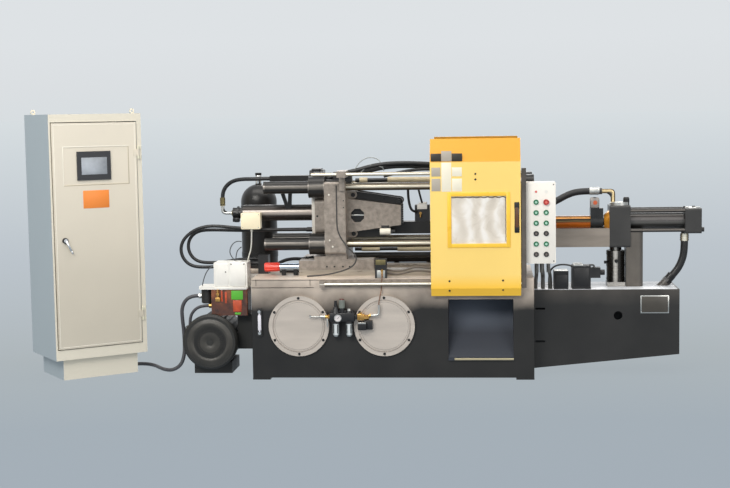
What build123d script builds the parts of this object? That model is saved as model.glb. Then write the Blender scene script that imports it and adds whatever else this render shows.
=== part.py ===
from build123d import *
import math
import os

# A horizontal cold-chamber die casting machine with its separate control cabinet.
# X runs along the machine from the clamp end to the shot end, the operator stands at -Y,
# Z is up, and the origin is the middle of the four foot bolts on the floor. Millimetres.

# Shared fits
fit_gap = 0.3
cut_over = 2.0
arc_share = 0.45
pin_clearance = 0.05

# Bed: a welded box on four foot pads
bed_length = 1643.0
bed_depth = 700.0
bed_top = 593.0
foot_height = 12.0
foot_length = 104.0
foot_width = 120.0
foot_bolt_radius = 9.0
foot_bolt_depth = 60.0
bed_edge_radius = 6.0

# Casting chute in the front of the bed
chute_pillar = 118.5
chute_width = 376.0
chute_height = 339.5
chute_sill = 130.5
chute_depth = 250.0
chute_plate = 6.0
chute_lip_height = 15.0
chute_lip_reach = 14.0

# Round access covers on the front of the bed
cover_radius = 177.0
cover_thickness = 14.0
cover_rim = 26.0
cover_step = 4.0
cover_ring_width = 8.0
cover_ring_thickness = 5.0
cover_height = 318.0
cover_left_inset = 279.0
cover_pitch = 499.5

# Oil level gauge at the left end of the front
gauge_width = 28.0
gauge_height = 162.0
gauge_thickness = 16.0
gauge_inset = 48.5
gauge_middle = 341.0
gauge_window = 11.0
gauge_end = 26.0

# Tapered extension that carries the shot end
extension_length = 846.0
extension_depth = 360.0
extension_top = 501.0
extension_root_bottom = 37.0
extension_tip_bottom = 120.0
extension_plate = 12.0
extension_hole_radius = 25.5
extension_hole_along = 493.0
extension_hole_height = 348.0
extension_slot_length = 59.0
extension_slot_radius = 6.0
extension_slot_inset = 12.0
extension_slot_heights = (196.0, 390.0)

# Ways on the bed that the platens stand on
way_thickness = 35.0
way_width = 110.0
way_inset = 265.0

# Platens and tie bars
axis_height = 949.5
tie_spacing = 336.0
tie_radius = 22.5
platen_width = 480.0
platen_bottom = 727.0
platen_top = 1148.0
platen_edge_radius = 12.0
rear_platen_place = 426.5
rear_platen_thickness = 124.0
rear_lobe_length = 67.0
rear_lobe_height = 212.0
rear_lobe_width = 300.0
rear_lobe_radius = 30.0
rear_shoe_drop = 18.0
rear_shoe_length = 68.0
rear_shoe_low = 56.0
rear_plate_left = 161.0
rear_plate_right = 159.0
rear_plate_height = 62.0
clamp_middle = 944.0
moving_platen_place = 1053.5
moving_platen_thickness = 120.0
fixed_platen_place = 1404.0
fixed_platen_thickness = 180.0
platen_base_width = 400.0
tie_nut_radius = 62.5
tie_nut_length = 66.0
tie_tail_radius = 37.0
tie_tail_length = 271.0
tie_tail_nut_length = 95.0

# Clamp cylinder and toggle
clamp_axis_height = 957.0
clamp_cylinder_radius = 47.5
clamp_cylinder_length = 433.0
clamp_flange_thickness = 23.0
clamp_cap_radius = 33.0
elbow_radius = 9.0
elbow_bend = 34.0
elbow_out = 64.0
elbow_rise = 50.0
ferrule_radius = 15.0
ferrule_length = 22.0
manifold_left = 341.0
manifold_right = 75.0
manifold_height = 36.0
manifold_depth = 80.0
manifold_back = 20.0
strut_width = 22.0
strut_foot = 140.0
strut_spread = 70.0
strut_lean = 12.0
clamp_cap_length = 60.0
clamp_rod_radius = 20.0
clamp_rod_entry_length = 40.0
cheek_length = 319.0
cheek_root_height = 201.0
cheek_tip_height = 116.0
cheek_thickness = 30.0
cheek_spacing = 220.0
cheek_hole_radius = 43.0
cheek_hole_sides = 8
cheek_hole_along = 60.5
crosshead_length = 80.0
crosshead_height = 90.0
crosshead_from_tip = 14.0
link_thickness = 34.0
link_radius = 22.0
link_spacing = 120.0
link_pin_radius = 12.0
link_root_along = 34.0
link_root_rise = 116.0
link_upper_run = 272.0
link_upper_drop = 42.0
link_lower_run = 176.0
link_lower_drop = 0.0
lug_width = 16.0
thrust_bar_height = 72.0
thrust_bar_width = 84.0

# Sliding guard door with its two rails
door_left_inset = 1054.0
door_width = 514.0
door_bottom = 494.0
door_fold = 1265.0
door_low_fold = 540.0
door_low_back = 24.0
door_top = 1395.0
door_top_back = 78.0
door_sheet = 3.0
door_flange = 14.0
door_clear_of_bed = 55.0
rail_radius = 10.0
rail_clear_of_bed = 28.0
top_rail_height = 1200.5
bottom_rail_height = 565.0
top_rail_left = 369.0
bottom_rail_left = 407.5
rail_strip_height = 40.0
rail_strip_thickness = 8.0
rail_block_length = 30.0
rail_block_height = 38.0
guard_post_width = 26.0
guard_post_depth = 35.0
guard_post_rise = 24.0
guard_post_gap = 5.0
guard_arm_height = 40.0
rail_bracket_length = 52.0
rail_bracket_beyond = 20.0
rail_bracket_height = 36.0
rail_bracket_thickness = 24.0
bearing_length = 46.0
bearing_height = 36.0
bearing_wall = 4.0
bearing_inset = 30.0
window_left_inset = 98.0
window_width = 356.0
window_bottom = 775.5
window_height = 315.0
window_rim = 22.0
window_rim_thickness = 4.0
window_pane = 5.0
handle_inset = 8.5
handle_width = 27.0
handle_height = 173.0
handle_bottom = 858.5
handle_depth = 20.0
handle_wall = 3.0

# Shot unit on the extension
shot_axis_height = 884.0
sleeve_radius = 55.0
sleeve_reach = 141.0
plunger_radius = 38.0
plunger_in_sleeve = 40.0
plunger_length = 302.5
coupling_length = 74.0
coupling_radius = 46.0
coupling_block_top = 83.0
coupling_block_width = 80.0
coupling_lug_top = 147.0
coupling_lug_length = 52.0
coupling_lug_width = 40.0
shot_rod_radius = 22.0
shot_rod_entry_length = 270.0
shot_gap = 34.0
shot_head_length = 122.0
shot_head_top = 984.0
shot_head_bottom = 737.5
shot_head_width = 150.0
shot_gland_radius = 40.0
shot_gland_length = 28.0
shot_cap_radius = 54.0
shot_cap_height = 16.0
shot_plug_radius = 18.0
shot_plug_height = 42.0
shot_plug_inset = 18.0
shot_elbow_radius = 12.0
shot_elbow_bend = 50.0
shot_elbow_along = 30.0
shot_elbow_rise = 80.0
shot_elbow_reach = 66.0
shot_hose_side = 46.0
shot_ferrule_radius = 19.0
shot_ferrule_length = 73.0
shot_tube_length = 317.0
shot_tube_radius = 41.0
shot_tube_bore = 34.0
shot_end_length = 95.0
shot_end_height = 148.0
shot_end_drop = 6.0
shot_end_plug_radius = 14.0
shot_end_plug_length = 24.0
shot_end_plug_drop = 56.0
low_ferrule_radius = 20.0
low_ferrule_length = 48.0
low_ferrule_inset = 5.0
shot_tie_radius = 12.0
shot_tie_spacing = 115.0
shot_tie_rise = 11.0
beam_height = 109.5
beam_thickness = 30.0
beam_spacing = 130.0
beam_top = 851.0
column_length = 101.0
column_width = 130.0
column_back = 24.0
column_round = 40.0
jack_radius = 53.0
jack_neck_radius = 29.0
jack_neck_height = 24.0
jack_from_column = 57.0
jack_shoulder = 14.0
jack_base_height = 28.0
jack_base_length = 112.0

# Button box beside the guard
box_width = 165.5
box_height = 465.0
box_depth = 120.0
box_bottom = 676.5
box_clear_of_platen = 17.5
box_plate_lap = 60.0
box_lid = 4.0
box_arm_height = 60.0
button_radius = 15.0
button_height = 16.0
button_pitch = 59.8
button_column_pitch = 57.0
button_top_inset = 53.5
button_rows = 7

# Accumulator bottle at the clamp end
bottle_radius = 112.0
bottle_height = 522.0
bottle_neck_radius = 20.0
bottle_neck_height = 70.0
bottle_out = 51.5
bottle_back = 330.0
bottle_dome_radius = 112.0
shelf_thickness = 14.0
shelf_length = 168.0
shelf_width = 240.0
shelf_gusset = 150.0

# Pump motor on the floor at the clamp end
motor_radius = 148.0
motor_length = 340.0
motor_cover_radius = 165.0
motor_cover_length = 44.0
motor_out = 275.0
motor_axis_height = 202.0
motor_front = 230.0
motor_fin_count = 28
motor_fin_height = 12.0
motor_fin_width = 5.0
motor_base_height = 70.0
motor_base_width = 230.0
terminal_left = 161.0
terminal_length = 70.0
terminal_front = 160.0
terminal_depth = 70.0
terminal_bottom = 24.0
terminal_height = 60.0
pump_radius = 80.0
pump_length = 150.0
pump_flange_radius = 125.0
pump_flange_length = 36.0
pump_bridge_bottom = 143.0
pump_bridge_top = 350.0
pump_bridge_width = 220.0

# Lubricator on the left end of the bed
lube_width = 201.0
lube_depth = 130.0
lube_top = 675.0
lube_bottom = 513.0
lube_flange = 19.0
lube_tank_height = 157.0
lube_clear_of_bed = 49.5
lube_front = 183.0
lube_bracket_thickness = 10.0
lube_tank_beyond = 20.0
lube_flange_beyond = 91.0
lube_motor_radius = 34.0
lube_motor_height = 84.0
lube_motor_inset = 36.0
lube_gland_radius = 14.0
lube_gland_length = 12.0
lube_gland_drop = 45.0
lube_tap_radius = 12.0
lube_tap_length = 14.0
lube_tap_drop = 102.0
lube_tap_inset = 40.0

# Air service unit and valve on the front of the bed
air_left_inset = 462.5
air_width = 149.0
air_depth = 50.0
air_stand = 20.0
air_bracket_width = 90.0
air_top = 472.5
air_height = 123.0
bowl_radius = 22.0
bowl_height = 92.0
bowl_spacing = 77.0
valve_nipple = 9.0
valve_width = 120.0
valve_depth = 40.0
valve_top = 400.0
valve_height = 53.0
coil_width = 60.0
coil_height = 50.0

# Junction box beside the clamp cylinder
junction_width = 117.0
junction_height = 97.0
junction_depth = 60.0
junction_reach = 30.0
junction_along = 9.0
junction_arm = 16.0

# Valve blocks on the extension, the bed and the thrust bar
block_front_inset = 6.0
block_depth = 110.0
block_a_from_platen = 180.5
block_a_length = 85.0
block_a_height = 109.0
block_b_from_a = 20.0
block_b_length = 109.0
block_b_height = 138.0
coil_b_length = 56.0
coil_b_height = 60.0
coil_b_depth = 60.0
coil_b_drop = 10.0
coil_knob_radius = 15.0
coil_knob_length = 24.0
port_block_length = 61.0
port_block_depth = 84.0
port_block_back = 12.0
port_block_height = 112.0
slide_valve_length = 88.0
slide_valve_width = 70.0
slide_valve_height = 98.0
slide_valve_from_platen = 18.0
pilot_valve_left_inset = 727.0
pilot_valve_length = 68.0
pilot_valve_depth = 50.0
pilot_valve_clear_of_front = 10.0
pilot_valve_height = 112.0

# Small oil strainer on the left end of the bed's top
strainer_left_inset = 54.0
strainer_cap_length = 90.0
strainer_cap_radius = 24.0
strainer_length = 119.0
strainer_radius = 20.0
strainer_height = 50.0
strainer_front = 150.0
saddle_length = 24.0
saddle_width = 30.0

# Control cabinet, standing apart and turned towards the operator
cabinet_left = -1970.0
cabinet_front = -440.0
cabinet_turn = 36.6
cabinet_width = 574.0
cabinet_depth = 423.0
cabinet_top = 1569.0
cabinet_wall = 4.0
plinth_height = 124.0
plinth_inset = 53.0
plinth_front_inset = 32.0
frame_depth = 20.0
stile_left = 11.0
stile_right = 29.0
rail_low = 61.0
rail_high = 46.0
door_gap = 5.0
cabinet_door_thickness = 18.0
door_proud = 6.0
hinge_radius = 6.0
hinge_pin_radius = 3.0
hinge_length = 78.0
hinge_leaf = 3.0
hinge_leaf_length = 20.0
hinge_from_door = 8.0
hinge_stand = 9.0
hinge_low = 363.0
hinge_high = 1336.0
screen_width = 208.0
screen_height = 169.0
screen_depth = 6.0
screen_left = 164.0
screen_bottom = 1181.0
panel_left = 78.0
panel_width = 405.0
panel_bottom = 1156.0
panel_height = 219.0
panel_depth = 2.0
lock_width = 32.0
lock_height = 87.0
lock_depth = 12.0
lock_inset = 92.0
lock_middle = 800.0
eye_radius = 15.0
eye_thickness = 8.0
eye_left_inset = 40.0
eye_front_inset = 40.0

# Hoses and cables, and the points of their routes
floor_cable_radius = 11.0
conduit_radius = 9.0
clamp_hose_radius = 12.0
loop_hose_radius = 10.0
shot_top_radius = 20.0
shot_low_radius = 22.0
socket_radius = 26.0
socket_length = 62.0
floor_cable_route = [
    (-1688.8, 55.2, 14), (-1628.6, 99.9, 14), (-1556, 94, 14), (-1499, 42, 14), (-1454, -30, 14),
    (-1408, -98, 14), (-1350, -134, 15), (-1296, -134, 46), (-1276, -122, 108), (-1276, -112, 180),
    (-1279, -110, 256), (-1285, -113, 328), (-1287, -115, 390), (-1264, -117, 441), (-1219, -118, 468),
    (-1173, -118, 468),
]
conduit_route = [
    (-1106, -143, 411), (-1160, -143, 411), (-1206.8, -141, 384), (-1233.8, -137, 337.2),
    (-1233.8, -137, 286),
]
clamp_hose_route = [
    (-1042, 0, 1029), (-1042, 0, 1072), (-1026, -3, 1111), (-995, -10, 1141), (-955, -20, 1158),
    (-905, -34, 1164), (-850, -50, 1164.5), (-793, -60, 1166), (-736, -60, 1166),
]
outer_loop_route = [
    (-485, -58, 858), (-625, -58, 858), (-785, -56, 858), (-945, -51, 870), (-1095, -45, 886),
    (-1185, -42, 872), (-1252.4, -40, 832.5), (-1292, -40, 783.5), (-1300, -40, 725.8),
    (-1277.3, -40, 672.1), (-1230.2, -40, 637.9), (-1155.5, -40, 631.4), (-1075.6, -41, 635.6),
    (-1001, -42, 646), (-910, -42, 655), (-821.5, -42, 655),
]
inner_loop_route = [
    (-485, -30, 858), (-610, -30, 858), (-745, -28, 856), (-880, -22, 852), (-1000, -15, 854),
    (-1095, -11, 857), (-1175, -9, 855), (-1226, -9, 833), (-1256, -9, 790), (-1260, -9, 738),
    (-1237, -9, 690), (-1193, -9, 661), (-1120, -10, 655), (-1030, -12, 662), (-925, -14, 679),
    (-821.5, -14, 679),
]
shot_top_route = [
    (762.5, 46, 976), (834, 46, 976), (906, 46.5, 981), (971, 46, 1008), (1034, 46, 1044),
    (1099, 46, 1064), (1165, 46, 1064),
]
shot_low_route = [
    (1718, 0, 768), (1718, 0, 703), (1700.7, 0, 638.3), (1667.2, 0, 580.3), (1617.7, 0, 530.8),
]


def block(x, y, z):
    """A block between three (low, high) pairs."""
    size = (x[1] - x[0], y[1] - y[0], z[1] - z[0])
    return Pos((x[0] + x[1]) / 2, (y[0] + y[1]) / 2, (z[0] + z[1]) / 2) * Box(*size)


def bar_x(x, y, z, radius):
    """A round bar along X between the pair x."""
    return Pos((x[0] + x[1]) / 2, y, z) * Rot(0, 90, 0) * Cylinder(radius, x[1] - x[0])


def bar_y(x, y, z, radius):
    """A round bar along Y between the pair y."""
    return Pos(x, (y[0] + y[1]) / 2, z) * Rot(90, 0, 0) * Cylinder(radius, y[1] - y[0])


def bar_z(x, y, z, radius):
    """A round bar along Z between the pair z."""
    return Pos(x, y, (z[0] + z[1]) / 2) * Cylinder(radius, z[1] - z[0])


def middle(low, size):
    """The pair that starts at low and is size long."""
    return (low, low + size)


def about(centre, size):
    """The pair of the given size about its centre."""
    return (centre - size / 2, centre + size / 2)


def side_profile(points, width):
    """A flat outline in X and Z, made solid across the machine."""
    outline = Plane.XZ * Polygon(*points, align=None)
    return extrude(outline, width / 2, both=True)


def pair(shape):
    """The shape and its mirror image on the other side of the machine."""
    return [shape, mirror(shape, Plane.XZ)]


def group(shapes):
    """Separate solids that share one node."""
    return Compound(children=[solid for shape in shapes for solid in shape.solids()])


# Places that several pieces share
bed_left = -bed_length / 2
bed_right = bed_length / 2
bed_front = -bed_depth / 2
bed_back = bed_depth / 2
way_top = bed_top + way_thickness
way_left = bed_left + way_inset
rear_left = bed_left + rear_platen_place
rear_right = rear_left + rear_platen_thickness
moving_left = bed_left + moving_platen_place
moving_right = moving_left + moving_platen_thickness
fixed_left = bed_left + fixed_platen_place
fixed_right = fixed_left + fixed_platen_thickness
extension_right = bed_right + extension_length
tie_offset = tie_spacing / 2
tie_places = [
    (side * tie_offset, axis_height + rise * tie_offset) for side in (-1, 1) for rise in (-1, 1)
]
platen_bolt_left = rear_left - rear_lobe_length
cheek_tip = rear_right + cheek_length
door_left = bed_left + door_left_inset
door_right = door_left + door_width
door_face = bed_front - door_clear_of_bed
rail_line = bed_front - rail_clear_of_bed
post_left = door_right + guard_post_gap
post_right = post_left + guard_post_width
coupling_left = fixed_right + sleeve_reach - plunger_in_sleeve + plunger_length
coupling_right = coupling_left + coupling_length
head_left = coupling_right + shot_gap
head_right = head_left + shot_head_length
tube_right = head_right + shot_tube_length
end_right = tube_right + shot_end_length
motor_centre = bed_left - motor_out
lube_right = bed_left - lube_clear_of_bed
lube_left = lube_right - lube_width


def chute_pocket():
    left = bed_right - chute_pillar - chute_width
    return (middle(left, chute_width), middle(bed_front, chute_depth), middle(chute_sill, chute_height))


def bed_body():
    body = block((bed_left, bed_right), (bed_front, bed_back), (foot_height, bed_top))
    body = fillet(body.edges().filter_by(Axis.Z), bed_edge_radius)
    x, y, z = chute_pocket()
    body -= block(x, (y[0] - cut_over, y[1]), z)
    for pad_x, pad_y in foot_places():
        pad = block(about(pad_x, foot_length), about(pad_y, foot_width), (0, foot_height))
        hole = bar_z(pad_x, pad_y, (-cut_over, foot_bolt_depth), foot_bolt_radius)
        body = body + pad - hole
    for centre in cover_centres():
        body += cover_ring(centre)
    return body


def foot_places():
    across = bed_length / 2 - foot_length / 2
    deep = bed_depth / 2 - foot_width / 2
    return [(sx * across, sy * deep) for sx in (-1, 1) for sy in (-1, 1)]


def chute_slope():
    x, y, z = chute_pocket()
    points = [
        (y[1] - chute_plate, z[1]),
        (y[1], z[1]),
        (y[0] + chute_plate, z[0]),
        (y[0], z[0]),
    ]
    outline = Plane.YZ * Polygon(*points, align=None)
    return Pos((x[0] + x[1]) / 2, 0, 0) * extrude(outline, chute_width / 2, both=True)


def chute_lip():
    x, _, z = chute_pocket()
    z = (z[0] - chute_lip_height, z[0] - fit_gap)
    return block(x, (bed_front - chute_lip_reach, bed_front), z)


def access_cover(centre):
    """A turned disc with a shallow groove inside its rim."""
    cover = bar_y(centre, (bed_front - cover_thickness, bed_front), cover_height, cover_radius)
    groove = (bed_front - cover_thickness - cut_over, bed_front - cover_thickness + cover_step)
    rim = bar_y(centre, groove, cover_height, cover_radius - cover_rim)
    step = bar_y(centre, groove, cover_height, cover_radius - cover_rim - cover_step)
    return cover - (rim - step)


def cover_ring(centre):
    """The painted boss ring that an access cover sits in."""
    y = (bed_front - cover_ring_thickness, bed_front)
    outer = bar_y(centre, y, cover_height, cover_radius + cover_ring_width)
    return outer - bar_y(centre, (y[0] - cut_over, y[1]), cover_height, cover_radius + fit_gap)


def cover_centres():
    first = bed_left + cover_left_inset
    return [first, first + cover_pitch]


def oil_gauge():
    x = about(bed_left + gauge_inset, gauge_width)
    z = about(gauge_middle, gauge_height)
    body = block(x, (bed_front - gauge_thickness, bed_front), z)
    slot = block(
        about(bed_left + gauge_inset, gauge_window),
        (bed_front - gauge_thickness - cut_over, bed_front - gauge_thickness / 2),
        (z[0] + gauge_end, z[1] - gauge_end),
    )
    return body - slot


def bed_extension():
    """A tapered plate box, open below, with a slanted socket for the return hose."""
    outline = [
        (bed_right, extension_root_bottom),
        (extension_right, extension_tip_bottom),
        (extension_right, extension_top),
        (bed_right, extension_top),
    ]
    body = side_profile(outline, extension_depth)
    inside = side_profile(
        [
            (bed_right + extension_plate, extension_root_bottom - extension_plate),
            (extension_right - extension_plate, extension_tip_bottom - extension_plate),
            (extension_right - extension_plate, extension_top - extension_plate),
            (bed_right + extension_plate, extension_top - extension_plate),
        ],
        extension_depth - 2 * extension_plate,
    )
    half = extension_depth / 2 + cut_over
    hole_x = bed_right + extension_hole_along
    body += hose_socket()
    body -= inside
    body -= bar_y(hole_x, (-half, half), extension_hole_height, extension_hole_radius)
    for height in extension_slot_heights:
        start = bed_right + extension_slot_inset
        middle_x = start + extension_slot_length / 2
        outline = SlotOverall(extension_slot_length, 2 * extension_slot_radius)
        slot = Plane.XZ * Pos(middle_x, height) * outline
        body -= extrude(slot, half, both=True)
    return body


def hose_socket():
    """The slanted socket that the low hose of the shot end runs into."""
    tip = Vector(*shot_low_route[-1])
    along = (tip - Vector(*shot_low_route[-2])).normalized()
    socket = Pos(0, 0, socket_length / 2) * Cylinder(socket_radius, socket_length)
    return Plane(origin=tip, z_dir=along) * socket


def way_plates():
    offset = platen_base_width / 2 - way_width / 2
    plate = block((way_left, fixed_right), about(-offset, way_width), (bed_top, way_top))
    return group(pair(plate))


def bar_holes(solid, x):
    """Cut the four tie-bar bores through a platen between the pair x."""
    for y, z in tie_places:
        solid -= bar_x((x[0] - cut_over, x[1] + cut_over), y, z, tie_radius + fit_gap)
    return solid


def platen_block(x):
    body = block(x, about(0, platen_width), (platen_bottom, platen_top))
    return fillet(body.edges().filter_by(Axis.X), platen_edge_radius)


def link_roots():
    """The two pin places on the rear platen, upper and lower, in X and Z."""
    x = rear_right + link_root_along
    return [(x, axis_height + link_root_rise), (x, axis_height - link_root_rise)]


def link_tips():
    """The two pin places at the far ends of the links."""
    upper, lower = link_roots()
    return [
        (upper[0] + link_upper_run, upper[1] - link_upper_drop),
        (lower[0] + link_lower_run, lower[1] + link_lower_drop),
    ]


def rear_platen():
    body = platen_block((rear_left, rear_right))
    lobe = block(
        (platen_bolt_left, rear_left), about(0, rear_lobe_width), about(clamp_middle, rear_lobe_height)
    )
    body += fillet(lobe.edges().filter_by(Axis.X), rear_lobe_radius)
    for x, z in link_roots():
        for y in lug_places():
            lug = block((rear_right, x), about(y, lug_width), about(z, 2 * link_radius))
            body += lug + bar_y(x, about(y, lug_width), z, link_radius)
        body -= bar_y(x, about(0, platen_width), z, link_pin_radius + fit_gap)
    body = bar_holes(body, (rear_left, rear_right))
    bore = (platen_bolt_left - cut_over, rear_right + cut_over)
    return body - bar_x(bore, 0, clamp_axis_height, clamp_rod_radius + fit_gap)


def lug_places():
    """Across places of the lugs on both sides of each pair of toggle links."""
    reach = link_spacing / 2 + link_thickness / 2 + lug_width / 2 + fit_gap
    inner = link_spacing / 2 - link_thickness / 2 - lug_width / 2 - fit_gap
    return (-reach, -inner, inner, reach)


def rear_platen_base():
    """The sliding shoe: a stepped block on a long wear plate."""
    low = way_top
    step = way_top + rear_shoe_low
    plate_right = rear_right + rear_plate_right
    points = [
        (rear_left - rear_plate_left, low),
        (plate_right, low),
        (plate_right, low + rear_plate_height),
        (rear_right, low + rear_plate_height),
        (rear_right, platen_bottom),
        (rear_left, platen_bottom),
        (rear_left, platen_bottom - rear_shoe_drop),
        (rear_left - rear_shoe_length, platen_bottom - rear_shoe_drop),
        (rear_left - rear_shoe_length, step),
        (rear_left - rear_plate_left, step),
    ]
    return side_profile(points, platen_base_width)


def plain_platen(x):
    body = platen_block(x)
    body += block(x, about(0, platen_base_width), (way_top, platen_bottom + platen_edge_radius))
    return bar_holes(body, x)


def fixed_platen():
    body = plain_platen((fixed_left, fixed_right))
    bore = (fixed_left - cut_over, fixed_right + cut_over)
    return body - bar_x(bore, 0, shot_axis_height, sleeve_radius + fit_gap)


def tie_bars():
    left = rear_left - tie_tail_nut_length
    return group(bar_x((left, fixed_right + tie_nut_length), y, z, tie_radius) for y, z in tie_places)


def tie_bar_nuts():
    """Plain nuts at the shot end, and nuts with closed tubes at the clamp end."""
    nuts = []
    tube_right = rear_left - tie_tail_nut_length
    tube_left = tube_right - tie_tail_length
    for y, z in tie_places:
        tail = bar_x((tube_right, rear_left), y, z, tie_nut_radius)
        tail -= bar_x((tube_right, rear_left + cut_over), y, z, tie_radius + fit_gap)
        nuts.append(tail + bar_x((tube_left, tube_right), y, z, tie_tail_radius))
        nut = bar_x(middle(fixed_right, tie_nut_length), y, z, tie_nut_radius)
        hole = (fixed_right - cut_over, fixed_right + tie_nut_length + cut_over)
        nuts.append(nut - bar_x(hole, y, z, tie_radius + fit_gap))
    return group(nuts)


def clamp_cylinder():
    """Flange, tube and end cap, with the bent pipe, and the oil manifold above on two struts."""
    flange_left = clamp_flange_left()
    tube_left = clamp_left_end()
    flange = block(
        (flange_left, platen_bolt_left), about(0, rear_lobe_height), about(clamp_middle, rear_lobe_height)
    )
    tube = bar_x((tube_left, flange_left), 0, clamp_axis_height, clamp_cylinder_radius)
    cap = bar_x((tube_left - clamp_cap_length, tube_left), 0, clamp_axis_height, clamp_cap_radius)
    bore = bar_x(
        (flange_left - clamp_rod_entry_length, platen_bolt_left + cut_over),
        0,
        clamp_axis_height,
        clamp_rod_radius + fit_gap,
    )
    return flange + tube + cap - bore + clamp_elbow(tube_left - clamp_cap_length) + clamp_manifold()


def clamp_flange_left():
    return platen_bolt_left - clamp_flange_thickness


def clamp_elbow(start):
    """The bent pipe at the cylinder's closed end, and the ferrule on it."""
    corner = start - elbow_out
    path = FilletPolyline(
        (start, 0, clamp_axis_height),
        (corner, 0, clamp_axis_height),
        (corner, 0, clamp_axis_height + elbow_rise),
        radius=elbow_bend,
    )
    pipe = sweep(Plane(path @ 0, z_dir=path % 0) * Circle(elbow_radius), path=path)
    top = clamp_axis_height + elbow_rise
    return pipe + bar_z(corner, 0, (top, top + ferrule_length), ferrule_radius)


def clamp_manifold():
    low = platen_top
    x = (rear_left - manifold_left, rear_left + manifold_right)
    y = (-manifold_back - manifold_depth, -manifold_back)
    bar = block(x, y, (low, low + manifold_height))
    foot = rear_left - tie_tail_nut_length - strut_foot
    for lean in (-strut_spread, strut_lean):
        points = [
            (foot - strut_width / 2, clamp_axis_height),
            (foot + strut_width / 2, clamp_axis_height),
            (foot + lean + strut_width / 2, low + manifold_height / 2),
            (foot + lean - strut_width / 2, low + manifold_height / 2),
        ]
        bar += Pos(0, -manifold_back - strut_width / 2, 0) * side_profile(points, strut_width)
    return bar


def clamp_rod():
    left = clamp_flange_left() - clamp_rod_entry_length
    right = cheek_tip - crosshead_from_tip - crosshead_length
    return bar_x((left + cut_over, right), 0, clamp_axis_height, clamp_rod_radius)


def clamp_cheeks():
    """Two tapered side plates, each with an eight-sided hole near its root."""
    points = [
        (rear_right, clamp_middle - cheek_root_height / 2),
        (cheek_tip, clamp_middle - cheek_tip_height / 2),
        (cheek_tip, clamp_middle + cheek_tip_height / 2),
        (rear_right, clamp_middle + cheek_root_height / 2),
    ]
    cheek = side_profile(points, cheek_thickness)
    hole = RegularPolygon(cheek_hole_radius, side_count=cheek_hole_sides, rotation=180 / cheek_hole_sides)
    place = Plane.XZ * Pos(rear_right + cheek_hole_along, clamp_middle)
    cheek -= extrude(place * hole, cheek_thickness, both=True)
    return group(pair(Pos(0, -cheek_spacing / 2, 0) * cheek))


def crosshead():
    """The block on the end of the clamp rod, and the thrust bar to the moving platen."""
    right = cheek_tip - crosshead_from_tip
    width = cheek_spacing - cheek_thickness
    z = about(clamp_middle, crosshead_height)
    body = block((right - crosshead_length, right), about(0, width), z)
    top = clamp_middle - crosshead_height / 2
    thrust_x = (right - crosshead_length, moving_left)
    return body + block(thrust_x, about(0, thrust_bar_width), (top - thrust_bar_height, top))


def link(start, end, side):
    run = end[0] - start[0]
    rise = end[1] - start[1]
    length = math.hypot(run, rise)
    turn = math.degrees(math.atan2(rise, run))
    place = ((start[0] + end[0]) / 2, (start[1] + end[1]) / 2)
    outline = Plane.XZ * Pos(*place) * Rot(0, 0, turn) * SlotCenterToCenter(length, 2 * link_radius)
    body = Pos(0, side * link_spacing / 2, 0) * extrude(outline, link_thickness / 2, both=True)
    for x, z in (start, end):
        body -= bar_y(x, about(0, platen_width), z, link_pin_radius + fit_gap)
    return body


def toggle_links():
    links = []
    for start, end in zip(link_roots(), link_tips()):
        for side in (-1, 1):
            links.append(link(start, end, side))
    return group(links)


def toggle_pins():
    reach = link_spacing + link_thickness + 2 * lug_width + 2 * fit_gap
    return group(bar_y(x, about(0, reach), z, link_pin_radius) for x, z in link_roots() + link_tips())


def guard_rails():
    top = bar_x((bed_left + top_rail_left, post_left), rail_line, top_rail_height, rail_radius)
    low = bar_x((bed_left + bottom_rail_left, post_left), rail_line, bottom_rail_height, rail_radius)
    return group([top, low])


def guard_post():
    foot = bottom_rail_height - guard_post_rise
    head = top_rail_height + guard_post_rise
    post = block((post_left, post_right), about(rail_line, guard_post_depth), (foot, head))
    post_back = rail_line + guard_post_depth / 2
    arm_z = (platen_top - guard_arm_height - platen_edge_radius, platen_top - platen_edge_radius)
    post += block((post_left, post_right), (post_back, -platen_width / 2), arm_z)
    return post


def rail_bracket():
    right = rear_right + rail_bracket_beyond
    x = (right - rail_bracket_length, right)
    z = about(top_rail_height, rail_bracket_height)
    head = block(x, (rail_line - rail_bracket_thickness, -platen_width / 2 + rail_bracket_thickness), z)
    leg = block(
        (x[0], rear_right),
        (-platen_width / 2 - rail_bracket_thickness, -platen_width / 2),
        (platen_top - rail_bracket_height - platen_edge_radius, z[0]),
    )
    hole = bar_x((x[0] - cut_over, x[1] + cut_over), rail_line, top_rail_height, rail_radius + fit_gap)
    return head + leg - hole


def rail_strip():
    left = bed_left + bottom_rail_left
    strip = block(
        (left, post_left),
        (bed_front - rail_strip_thickness, bed_front),
        about(bottom_rail_height, rail_strip_height),
    )
    reach = rail_line - rail_radius
    end = block(
        (left, left + rail_block_length),
        (reach, bed_front - rail_strip_thickness),
        about(bottom_rail_height, rail_block_height),
    )
    hole = bar_x((left - cut_over, post_left), rail_line, bottom_rail_height, rail_radius + fit_gap)
    return strip + end - hole


def door_outline(offset):
    """The folded sheet's section in Y and Z, moved inwards by offset."""
    face = door_face + offset
    high = offset * math.tan(math.atan2(door_top_back, door_top - door_fold) / 2)
    low = offset * math.tan(math.atan2(door_low_back, door_low_fold - door_bottom) / 2)
    return [
        (face + door_low_back, door_bottom + low),
        (face, door_low_fold + low),
        (face, door_fold - high),
        (face + door_top_back, door_top - high),
    ]


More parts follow.
